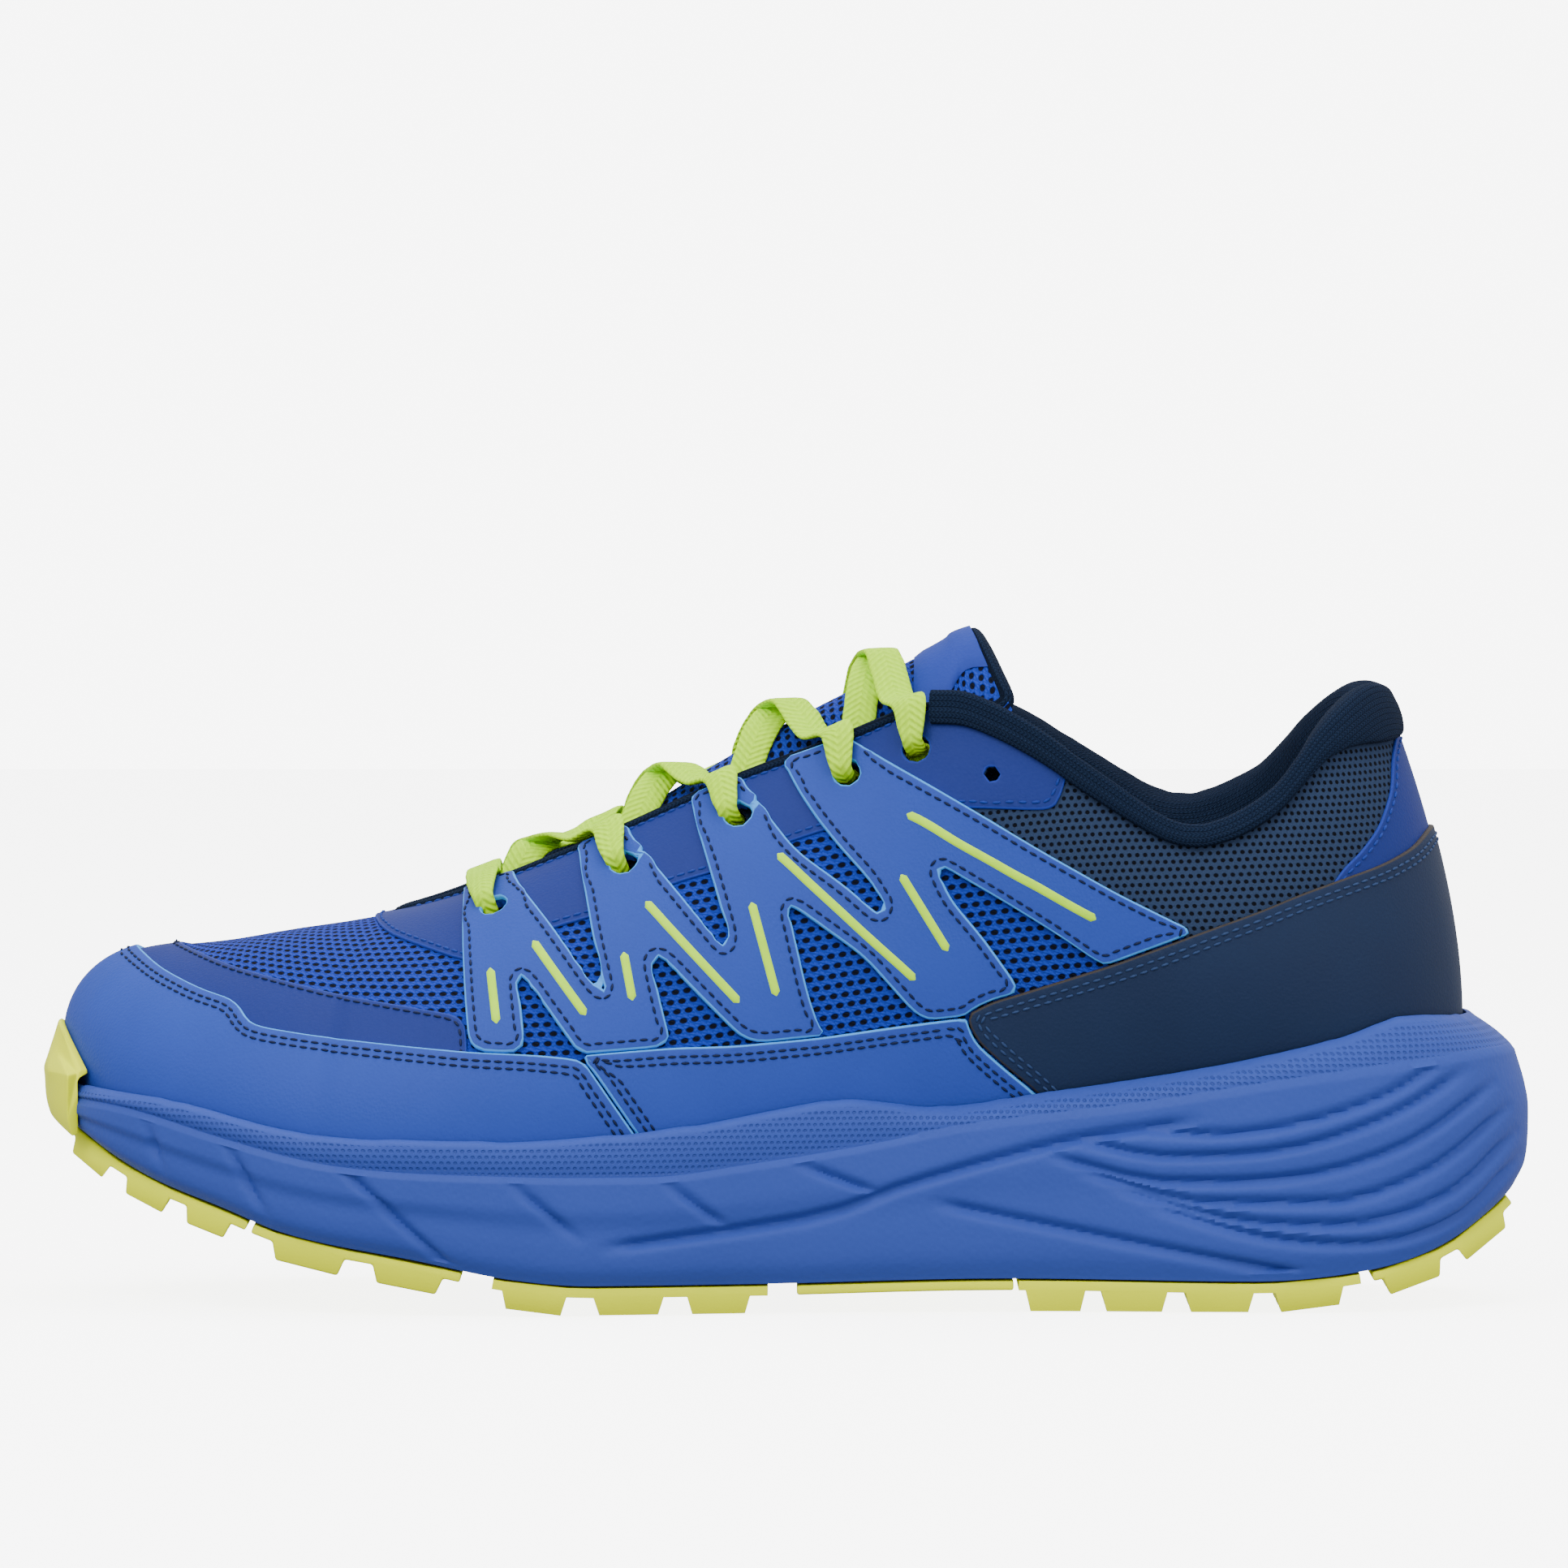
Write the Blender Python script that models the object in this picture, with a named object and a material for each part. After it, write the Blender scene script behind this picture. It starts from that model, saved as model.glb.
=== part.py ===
"""Trail running shoe, left foot. Toe towards -X, lateral side -Y, ground at z = 0. Metres.

The upper is one skin, measured round the shoe from the toe and up from the footbed. Every layer of
it is that skin moved in or out along its normals, so layers never meet. Panels are cut from their
layer by an outline drawn in the side view and pushed through the shoe along Y.
"""
import math

import bmesh
import bpy
import numpy as np
from mathutils import Matrix, Vector

MM = 0.001
SIDE_STATIONS = 24        # sections along each side of the shoe
SKIN_ROWS = 7             # rows of the skin above the footbed
BITE_ROW = 2              # row that lies on the midsole's top edge
RIDGE_END = 4.4           # the two sides join over the vamp up to this station
LAST_STATION = 17
GAP = 0.4                 # clearance between pieces, mm

# Depths of the layers from the skin, outer faces positive, mm.
MESH = (-1.2, 0.0)
FILM = (0.35, 0.8)
OVERLAY = (1.15, 2.0)
TOE_PUFF = (-2.0, -1.55)
COUNTER = (-2.9, -1.55)
LINING = (-3.4, -2.5)
CUP_GAP = 2.4             # from the skin to the midsole's inner wall

# The upper at 18 stations from the middle of the toe to the middle of the heel, mm.
FEATHER_LATERAL = [(-135.5, 8), (-133.5, -5), (-127, -17), (-114, -27.5), (-97, -36), (-75, -41.5),
                   (-52, -42), (-28, -39), (-6, -35), (14, -31.5), (32, -29.5), (50, -28.5),
                   (68, -28.5), (86, -29), (103, -28), (119, -22), (129, -11), (131.5, 0)]
FEATHER_MEDIAL = [(-135.5, 8), (-134, 19), (-128.5, 29), (-115.5, 36.5), (-98, 41), (-76, 42.5),
                  (-53, 40.5), (-29, 35.5), (-6, 31), (14, 28), (32, 26.5), (50, 26),
                  (68, 26.5), (86, 27.5), (103, 27), (119, 21.5), (129, 11), (131.5, 0)]
# Top line: x, middle y, half width, z, extra height of the medial side.
TOP_LINE = [(-121, 7.8, 0, 69.8, 0), (-117, 7.8, 0, 70.4, 0), (-109, 7.4, 0, 71.2, 0),
            (-97, 6.8, 0, 73.4, 0), (-84, 6.2, 0, 75.6, 0), (-70, 5.5, 6, 79.0, 0),
            (-54, 3.5, 13, 85.0, 0), (-33, 2.8, 16.5, 94.0, 0), (-12, 2.2, 18, 103.6, 0),
            (10, 1.8, 19.5, 112.0, 0), (30, 1, 23, 119.5, 0), (46, 0.3, 27.8, 114.0, 1),
            (62, 0, 31, 103.0, 2.5), (79, 0, 33, 94.0, 3.5), (95, 0, 31, 99.5, 2.5),
            (106.5, 0, 24.5, 113.0, 0.5), (115, 0, 13, 120.0, 0), (119.5, 0, 0, 119.5, 0)]
# Fullness of each section: bow and rise above the feather, reach and lift at the top line.
FULLNESS = [(14.5, 15, 26, 0.5), (15, 16, 24, 0.5), (16, 17, 24, 0.8), (16, 18, 27, 1.0),
            (16, 18, 30, 0.5), (15, 18, 28, -1), (13, 19, 24, -4), (12, 21, 19, -9),
            (11, 23, 15, -14), (10.5, 25, 12, -20), (10, 26, 9, -25), (10, 25, 7, -23),
            (10.5, 23, 6, -20), (11, 22, 5.5, -17), (11, 23, 6, -19), (10, 26, 7, -22),
            (8, 28, 8, -23), (6.5, 28, 8.5, -23)]
FOOTBED = [(-141, 34), (-125, 29), (-105, 25.2), (-80, 22.5), (-55, 21.5), (-30, 22.5),
           (0, 26.5), (30, 31), (60, 34.5), (90, 36.5), (132, 37)]
BITE_LINE = [(-145, 44.2), (-120, 41), (-93, 35.5), (-55, 34.4), (-22, 37), (13, 42.2), (27, 40.8),
             (54, 44.2), (81, 48.6), (109, 54.6), (121, 58), (134, 57)]

# The sole: widest outline at the same stations, and heights along the shoe, mm.
SOLE_LATERAL = [(-147, 8.5), (-144, -8), (-135, -23), (-119, -35), (-98, -45), (-75, -49.5),
                (-52, -50.5), (-28, -47.5), (-6, -43.5), (14, -40.5), (32, -39), (50, -39),
                (68, -40), (88, -41.5), (109, -40.5), (129, -33), (143.5, -17.5), (148.4, 0)]
SOLE_MEDIAL = [(-147, 8.5), (-144.5, 24), (-136, 36), (-121, 45.5), (-99, 50), (-76, 50.5),
               (-53, 47.5), (-29, 42), (-6, 37), (14, 34.5), (32, 34), (50, 35),
               (68, 37), (88, 39), (109, 38.5), (129, 31.5), (143.5, 17), (148.4, 0)]
WALL_RIDGE = [(-147, 41), (-133, 40), (-112, 34.8), (-90, 29.9), (-55, 27.8), (-28, 27.5),
              (-8, 29.8), (16, 33.5), (32, 36.7), (70, 41.6), (92, 45), (114, 48), (142, 51)]
SOLE_BOTTOM = [(-150, 41), (-146.5, 38), (-138.5, 32.4), (-127, 26.2), (-111, 20.3), (-100.7, 16.4),
               (-72.8, 10.9), (-54.6, 7.3), (-38, 5.9), (-8, 5.9), (44, 6.6), (92, 6.2),
               (109, 7.4), (121, 9.6), (131, 13.3), (139, 18.2), (146.4, 24), (150, 28)]
OUTSOLE_THICK = 1.9
LUG_HEIGHT = 3.6

# Joints: the tongue's sewn base and the insole's front edge, mm.
TONGUE_HINGE = (-70.0, 0.0, 74.0)
INSOLE_HINGE = (-128.0, 0.0, 32.0)

# Moves the sections' frame so that the origin is under the middle of the finished shoe, mm.
CENTRE = (0.8, -0.71, 0.0)

ROYAL = (0.02, 0.07, 0.42)
BLUE = (0.04, 0.13, 0.58)
NAVY = (0.012, 0.028, 0.085)
LIME = (0.62, 0.95, 0.02)
GREY = (0.55, 0.55, 0.56)


# ---------------------------------------------------------------- curves

class Curve:
    """Cubic curve through keyed values, without overshoot. closed joins its end to its start."""

    def __init__(self, places, values, closed=False):
        self.closed = closed
        self.x = np.asarray(places, float)
        self.y = np.asarray(values, float).reshape(len(places), -1)
        if closed:
            period = len(places)
            self.period = period
            self.x = np.arange(-3, period + 4, dtype=float)
            self.y = self.y[self.x.astype(int) % period]
        step = np.diff(self.x)[:, None]
        slope = np.diff(self.y, axis=0) / step
        self.m = np.vstack([slope[:1], (slope[:-1] + slope[1:]) / 2, slope[-1:]])
        if not closed:
            for i in range(1, len(self.x) - 1):
                flat = slope[i - 1] * slope[i] <= 0
                limit = 3 * np.minimum(abs(slope[i - 1]), abs(slope[i]))
                self.m[i] = np.where(flat, 0, np.clip(self.m[i], -limit, limit))

    def __call__(self, at):
        if self.closed:
            at = at % self.period
        at = min(max(at, self.x[0]), self.x[-1])
        i = min(int(np.searchsorted(self.x, at, side="right")) - 1, len(self.x) - 2)
        h = self.x[i + 1] - self.x[i]
        u = (at - self.x[i]) / h
        found = ((2 * u**3 - 3 * u**2 + 1) * self.y[i] + (u**3 - 2 * u**2 + u) * h * self.m[i]
                 + (3 * u**2 - 2 * u**3) * self.y[i + 1] + (u**3 - u**2) * h * self.m[i + 1])
        return float(found[0]) if len(found) == 1 else found


def along(keys):
    return Curve([k[0] for k in keys], [k[1] for k in keys])


def loop_of(lateral, medial):
    """One closed curve from the toe along the lateral side to the heel and back along the medial."""
    rows = list(lateral) + list(medial[-2:0:-1])
    return Curve(range(len(rows)), rows, closed=True)


footbed_z, bite_z, ridge_z, bottom_z = map(along, (FOOTBED, BITE_LINE, WALL_RIDGE, SOLE_BOTTOM))
feather = loop_of(FEATHER_LATERAL, FEATHER_MEDIAL)
sole_outline = loop_of(SOLE_LATERAL, SOLE_MEDIAL)
fullness = loop_of(FULLNESS, FULLNESS)
top_left = [(x, mid - half, z) for x, mid, half, z, extra in TOP_LINE]
top_right = [(x, mid + half, z + extra) for x, mid, half, z, extra in TOP_LINE]
top_curve = loop_of(top_left, top_right)
LOOP = 2 * LAST_STATION


def top_point(w):
    """Point of the top line at loop place w. Over the vamp both sides share the ridge."""
    point = top_curve(w)
    if min(w % LOOP, LOOP - w % LOOP) <= RIDGE_END:
        point = (point + top_curve(LOOP - w)) / 2
    return point


def outward(curve, w):
    """Unit plan normal of an outline, away from the shoe's middle."""
    tangent = (curve(w + 0.1) - curve(w - 0.1))[:2]
    normal = np.array([tangent[1], -tangent[0]])
    normal /= np.linalg.norm(normal)
    middle = np.array([0.0, 3.0])
    edge = curve(w)[:2]
    inner = np.array([np.clip(edge[0], -95, 100), middle[1]])
    return normal if (edge - inner) @ normal > 0 else -normal


def section(w, v):
    """Point of the skin at loop place w, v from 0 at the footbed to 1 at the top line."""
    foot = feather(w)
    bow, rise, reach, lift = fullness(w)
    out = outward(feather, w)
    a = np.array([foot[0], foot[1], footbed_z(foot[0])])
    d = top_point(w)
    b = a + np.array([out[0] * bow, out[1] * bow, rise])
    c = d + np.array([out[0] * reach, out[1] * reach, lift])
    return (1 - v)**3 * a + 3 * (1 - v)**2 * v * b + 3 * (1 - v) * v**2 * c + v**3 * d


def bite_share(w):
    """The v at which a section passes the midsole's top edge."""
    low, high = 0.0, 0.6
    for _ in range(30):
        mid = (low + high) / 2
        point = section(w, mid)
        low, high = (mid, high) if point[2] < bite_z(point[0]) else (low, mid)
    return low


# ---------------------------------------------------------------- skins

class Sheet:
    """Grid of surface points in mm by (column, row), with the normals that layers are moved along."""

    def __init__(self, points, cells, outside):
        mesh = bmesh.new()
        verts = {k: mesh.verts.new(p) for k, p in points.items()}
        for cell in cells:
            mesh.faces.new([verts[k] for k in self.corners(*cell)])
        mesh.normal_update()
        self.point = {k: np.array(v.co) for k, v in verts.items()}
        self.normal = {k: np.array(v.normal) for k, v in verts.items()}
        mesh.free()
        key, direction = outside
        if self.normal[key] @ np.array(direction, float) < 0:
            self.normal = {k: -n for k, n in self.normal.items()}

    def key(self, i, j):
        return i, j

    def corners(self, i, j):
        keys = [self.key(i, j), self.key(i + 1, j), self.key(i + 1, j + 1), self.key(i, j + 1)]
        return list(dict.fromkeys(keys))

    def at(self, key, depth):
        return self.point[key] + self.normal[key] * depth

    def between(self, i, j, depth):
        """Point and normal at fractional column and row."""
        i0, j0 = math.floor(i), min(math.floor(j), SKIN_ROWS - 1)
        u, v = i - i0, j - j0
        keys = [self.key(i0, j0), self.key(i0 + 1, j0), self.key(i0, j0 + 1), self.key(i0 + 1, j0 + 1)]
        parts = [(1 - u) * (1 - v), u * (1 - v), (1 - u) * v, u * v]
        normal = sum(self.normal[k] * p for k, p in zip(keys, parts))
        normal /= np.linalg.norm(normal)
        return sum(self.point[k] * p for k, p in zip(keys, parts)) + normal * depth, normal


class Skin(Sheet):
    """The upper's surface: columns run round the shoe, rows from the footbed to the top line."""

    def __init__(self):
        self.count = 2 * SIDE_STATIONS
        self.places = [i * LOOP / self.count for i in range(self.count)]
        points = {}
        for i, w in enumerate(self.places):
            bite = bite_share(w)
            for j in range(SKIN_ROWS + 1):
                if j <= BITE_ROW:
                    v = bite * j / BITE_ROW
                else:
                    v = bite + (1 - bite) * (j - BITE_ROW) / (SKIN_ROWS - BITE_ROW)
                points.setdefault(self.key(i, j), section(w, v))
        cells = [(i, j) for i in range(self.count) for j in range(SKIN_ROWS)]
        super().__init__(points, cells, ((SIDE_STATIONS, 3), (1, 0, 0)))

    def key(self, i, j):
        i %= self.count
        if j == SKIN_ROWS and min(self.places[i], LOOP - self.places[i]) <= RIDGE_END:
            i = min(i, (self.count - i) % self.count)
        return i, j

    def find(self, x, z, side):
        """Fractional column and row of the skin at x and z on one side, -1 lateral or 1 medial."""
        best = None
        for i in np.arange(0.5, SIDE_STATIONS, 0.25):
            for j in np.arange(2, SKIN_ROWS + 0.01, 0.1):
                p = self.between(i if side < 0 else self.count - i, j, 0)[0]
                miss = (p[0] - x)**2 + (p[2] - z)**2
                if best is None or miss < best[0]:
                    best = miss, i if side < 0 else self.count - i, j
        return best[1:]


def thick(name, cells, depths, material, sheet):
    """Solid made of a sheet's cells between two depths, in mm from the sheet, lower depth first."""
    used = {}
    mesh = bmesh.new()

    def vert(key, side):
        if (key, side) not in used:
            depth = depths[side](*key) if callable(depths[side]) else depths[side]
            used[key, side] = mesh.verts.new(sheet.at(key, depth) * MM)
        return used[key, side]

    edges = {}
    for cell in cells:
        keys = sheet.corners(*cell)
        for a, b, c in [(keys[0], keys[k], keys[k + 1]) for k in range(1, len(keys) - 1)]:
            mesh.faces.new([vert(a, 1), vert(b, 1), vert(c, 1)])
            mesh.faces.new([vert(c, 0), vert(b, 0), vert(a, 0)])
        for a, b in zip(keys, keys[1:] + keys[:1]):
            if (b, a) in edges:
                del edges[b, a]
            else:
                edges[a, b] = True
    for a, b in edges:
        mesh.faces.new([vert(b, 1), vert(a, 1), vert(a, 0), vert(b, 0)])
    return solid(name, mesh, material)


# ---------------------------------------------------------------- Blender helpers

def clear_scene():
    for obj in list(bpy.data.objects):
        bpy.data.objects.remove(obj)


def paint(name, colour, roughness):
    found = bpy.data.materials.get(name)
    if found is None:
        found = bpy.data.materials.new(name)
        found.use_nodes = True
        shader = found.node_tree.nodes["Principled BSDF"]
        shader.inputs["Base Color"].default_value = (*colour, 1)
        shader.inputs["Roughness"].default_value = roughness
        shader.inputs["Metallic"].default_value = 0
    return found


def solid(name, mesh, material):
    """Object from a bmesh in metres, its faces turned outwards."""
    bmesh.ops.recalc_face_normals(mesh, faces=mesh.faces)
    bmesh.ops.translate(mesh, vec=Vector(CENTRE) * MM, verts=mesh.verts)
    data = bpy.data.meshes.new(name)
    mesh.to_mesh(data)
    mesh.free()
    obj = bpy.data.objects.new(name, data)
    bpy.context.scene.collection.objects.link(obj)
    if material:
        data.materials.append(material)
    return obj


def prism(name, outline, low=-90, high=90):
    """Hidden cutter: an outline of (x, z) in mm pushed along Y."""
    mesh = bmesh.new()
    near = [mesh.verts.new((x * MM, low * MM, z * MM)) for x, z in outline]
    far = [mesh.verts.new((x * MM, high * MM, z * MM)) for x, z in outline]
    mesh.faces.new(near)
    mesh.faces.new(far[::-1])
    for k in range(len(outline)):
        after = (k + 1) % len(outline)
        mesh.faces.new([near[after], near[k], far[k], far[after]])
    return hide(solid(name, mesh, None))


def hide(obj):
    obj.hide_render = True
    obj.display_type = "WIRE"
    return obj


def boolean(obj, cutter, operation):
    modifier = obj.modifiers.new(operation.title(), "BOOLEAN")
    modifier.operation = operation
    modifier.object = cutter
    modifier.solver = "EXACT"
    return obj


def loft(name, rings, material, closed=False):
    """Solid through rings of points in mm, capped at its ends unless the rings close on themselves."""
    mesh = bmesh.new()
    rows = [[mesh.verts.new(np.asarray(p) * MM) for p in ring] for ring in rings]
    pairs = list(zip(rows, rows[1:])) + ([(rows[-1], rows[0])] if closed else [])
    for a, b in pairs:
        for k in range(len(a)):
            after = (k + 1) % len(a)
            mesh.faces.new([a[k], a[after], b[after], b[k]])
    if not closed:
        mesh.faces.new(rows[0])
        mesh.faces.new(rows[-1][::-1])
    return solid(name, mesh, material)


# ---------------------------------------------------------------- panel outlines, (x, z) in mm

VAMP_SIDE = [(-160, 0), (-160, 150), (-10, 150), (11.8, 112.7), (83.3, 71.2), (112, 30), (112, 0)]
COLLAR_SIDE = [(112.5, 0), (112.5, 30.1), (83.6, 71.5), (12.2, 113.0), (-9.5, 150), (160, 150),
               (160, 0)]
TOE_CAP = [(-160, 72), (-135.2, 71.6), (-132.9, 70.6), (-125, 65.4), (-116.8, 62.1), (-109.2, 60),
           (-105.9, 55.6), (-92.6, 53.8), (-76.3, 52.4), (-62.8, 51.4), (-51.3, 51.1),
           (-40.6, 50.2), (-38.3, 47), (-30.5, 35.9), (-20, 21), (-20, 0), (-160, 0)]
FOXING = [(-19.5, 0), (-19.5, 21.1), (-30, 36.1), (-37.8, 47.2), (-40.2, 50.6), (-39.4, 51.1),
          (-23.2, 52.4), (-11, 52.7), (6.7, 54.3), (21.4, 56.4), (35.2, 58.0), (35.6, 56.1),
          (37.5, 52.8), (43, 48), (48.4, 43.7), (56, 36), (58, 30), (58, 0)]
HEEL_WRAP = [(58.5, 0), (58.5, 30.2), (56.5, 36.3), (48.9, 44.0), (43.5, 48.3), (38.0, 53.1),
             (36.1, 56.3), (35.7, 58.6), (37.2, 59.7), (40.4, 61.3), (45.8, 62.9), (64.6, 68.9),
             (80.7, 74.8), (92.4, 78.9), (100.7, 82.3), (109, 85.2), (117.2, 87.8),
             (123.5, 90.7), (127, 94.6), (150, 96), (150, 0)]
TOE_FILM = [(-160, 74), (-131, 73), (-110, 66.6), (-90, 62.2), (-63.4, 58.4), (-63.0, 46),
            (-100, 47), (-128, 52), (-160, 56)]
EYESTAY = [(-84.5, 77.5), (-80, 73.5), (-63, 68.5), (-46.7, 75.4), (-38.3, 77.7), (-22.4, 84.2),
           (-13.9, 86.7), (2, 93), (20, 98.5), (36, 99.3), (52.4, 98.9), (54.4, 102.9),
           (56, 110), (40, 128), (20, 128), (-20, 112), (-60, 92), (-84.5, 84)]
HEEL_PATCH = [(121.4, 112.6), (120.2, 108.8), (119.8, 102.1), (117.2, 95.4), (113.4, 90.6),
              (109.5, 87.2), (104, 79), (150, 79), (150, 112.6)]
CAGE = [(-64.3, 92), (-64.3, 72.8), (-63.7, 62.1), (-62.7, 51.9), (-51.6, 51.6), (-53.1, 66),
        (-51.8, 65.5), (-41.2, 51.5), (-39.4, 51.6), (-23, 52.9), (-25.4, 62.1), (-27.1, 70.1),
        (-24.8, 69.6), (-16.8, 61.5), (-8.2, 53.4), (7.1, 54.9), (5.8, 57), (3.8, 62.9),
        (1.1, 74.8), (-0.2, 80.5), (15, 69.9), (26.2, 57.8), (34.8, 58.6), (36.8, 60.2),
        (40.2, 61.8), (46.2, 63.6), (38.8, 73.7), (32.3, 81.3), (29.5, 87.5), (31.1, 87.5),
        (43, 80.8), (53.7, 74.3), (62.2, 68.8), (64.4, 69.4), (80.4, 75.3), (75.4, 77.6),
        (64.6, 82.9), (50.6, 90.7), (38.8, 97.7), (26.9, 104.4), (13.9, 111.5), (11, 113.2),
        (6, 118), (-1.6, 114), (-1.2, 108.3), (2.2, 101.8), (5.9, 96.4), (10.3, 91.1),
        (16, 85), (19.3, 79.7), (18.8, 78.5), (17.6, 78.5), (11.8, 83.4), (1.7, 90.4),
        (-4.8, 98.5), (-9.7, 105), (-12, 112), (-20, 108), (-18.6, 97.4), (-16.3, 89.4),
        (-13.9, 81.3), (-12.1, 74.8), (-11.8, 71.9), (-12.9, 71.9), (-23.7, 84.6),
        (-31.8, 93.7), (-35, 102), (-42, 97), (-41.2, 88.3), (-38.3, 72), (-36, 62.9),
        (-37.2, 62.9), (-46.9, 75.9), (-54.9, 85), (-57, 92)]
EYELETS = [(-58, 78.6), (-32.3, 87.4), (-9.7, 97.2), (12, 105.6), (25.5, 110.8), (40.4, 106)]
EYELET_HOLE = 5.8         # diameter, mm

# ---------------------------------------------------------------- the upper

clear_scene()
skin = Skin()
N = skin.count
UPPER = range(SKIN_ROWS)

mesh_blue = paint("blue_mesh", ROYAL, 0.75)
mesh_navy = paint("navy_mesh", NAVY, 0.8)
lining_navy = paint("navy_knit", NAVY, 0.85)
lining_inner = paint("vamp_lining", NAVY, 0.85)
foam_grey = paint("foam", GREY, 0.9)
stiff_grey = paint("stiffener", (0.7, 0.68, 0.6), 0.7)
film_blue = paint("blue_film", (0.02, 0.05, 0.3), 0.45)
synthetic_blue = paint("blue_synthetic", BLUE, 0.55)
synthetic_navy = paint("navy_synthetic", NAVY, 0.6)


def both(columns):
    """The given lateral columns of cells and their medial mirrors."""
    return sorted(set(columns) | {N - 1 - c for c in columns})


def panel(name, outline, cells, depths, material, low=-90, high=90):
    made = thick(name, cells, depths, material, skin)
    return boolean(made, prism(name + "_outline", outline, low, high), "INTERSECT")


everywhere = [(i, j) for i in range(N) for j in UPPER]
front = [(i, j) for i in both(range(0, 21)) for j in UPPER]
rear = [(i, j) for i in both(range(13, 24)) for j in UPPER]
vamp_mesh = panel("vamp_mesh", VAMP_SIDE, everywhere, MESH, mesh_blue)
collar_mesh = panel("collar_mesh", COLLAR_SIDE, rear, MESH, mesh_navy)

low = [(i, j) for i in both(range(14, 24)) for j in range(4)]
vamp_lining = thick("vamp_lining", [(i, j) for i in both(range(0, 14)) for j in UPPER] + low,
                    LINING, lining_inner, skin)
toe_puff = thick("toe_puff", [(i, j) for i in both(range(0, 4)) for j in range(1, 5)],
                 TOE_PUFF, stiff_grey, skin)
heel_counter = thick("heel_counter", [(i, j) for i in both(range(18, 24)) for j in range(0, 4)],
                     (-2.1, COUNTER[1]), stiff_grey, skin)
toe_film = panel("toe_film", TOE_FILM, [(i, j) for i in both(range(0, 12)) for j in UPPER],
                 FILM, film_blue)
eyestay = panel("eyestay", EYESTAY, [(i, j) for i in both(range(3, 19)) for j in range(4, 7)],
                FILM, film_blue)
heel_patch = panel("heel_patch", HEEL_PATCH, [(i, j) for i in both(range(19, 24)) for j in UPPER],
                   FILM, film_blue)

overlay_rows = range(1, SKIN_ROWS)
toe_cap = panel("toe_cap", TOE_CAP, [(i, j) for i in both(range(0, 12)) for j in range(1, 6)],
                OVERLAY, synthetic_blue)
heel_wrap = panel("heel_wrap", HEEL_WRAP, [(i, j) for i in both(range(14, 24)) for j in range(1, 6)],
                  OVERLAY, synthetic_navy)
for side, columns in (("lateral", range(4, 20)), ("medial", range(28, 44))):
    panel("foxing_" + side, FOXING, [(i, j) for i in columns for j in range(1, 5)], OVERLAY,
          synthetic_blue)
    panel("cage_" + side, CAGE, [(i, j) for i in columns for j in range(2, 7)], OVERLAY,
          synthetic_blue)



def punches():
    """Hidden cutter with one cylinder for each laced eyelet, along the skin's normal there."""
    mesh = bmesh.new()
    for x, z in EYELETS[:5]:
        for side in (-1, 1):
            i, j = skin.find(x, z, side)
            centre, n = skin.between(i, j, 0)
            u = np.cross(n, (0, 0, 1))
            u /= np.linalg.norm(u)
            v = np.cross(n, u)
            rings = [[mesh.verts.new((centre + n * h + (u * math.cos(a) + v * math.sin(a))
                                      * EYELET_HOLE / 2) * MM)
                      for a in np.linspace(0, 2 * math.pi, 12, endpoint=False)] for h in (-9, 6)]
            for k in range(12):
                after = (k + 1) % 12
                mesh.faces.new([rings[0][k], rings[0][after], rings[1][after], rings[1][k]])
            mesh.faces.new(rings[0][::-1])
            mesh.faces.new(rings[1])
    return hide(solid("eyelet_punches", mesh, None))


punch = punches()
for pierced in (vamp_mesh, collar_mesh, vamp_lining, eyestay, bpy.data.objects["cage_lateral"],
                bpy.data.objects["cage_medial"]):
    boolean(pierced, punch, "DIFFERENCE")

# ---------------------------------------------------------------- the padded collar

FOAM_COLUMNS = range(15, 34)


def collar_depth(i):
    """Depth of the collar's inner face from the skin: fullest beside the heel."""
    place = min(skin.places[i % N], LOOP - skin.places[i % N])
    return Curve([9, 11, 13, 15, 16, 17], [4.9, 6.2, 9.0, 9.6, 8.6, 8.2])(place)


def top_axis(i):
    """Unit vector from the skin's last rows up over the top line."""
    up = skin.point[skin.key(i, 7)] - skin.point[skin.key(i, 6)]
    return up / np.linalg.norm(up)


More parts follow.
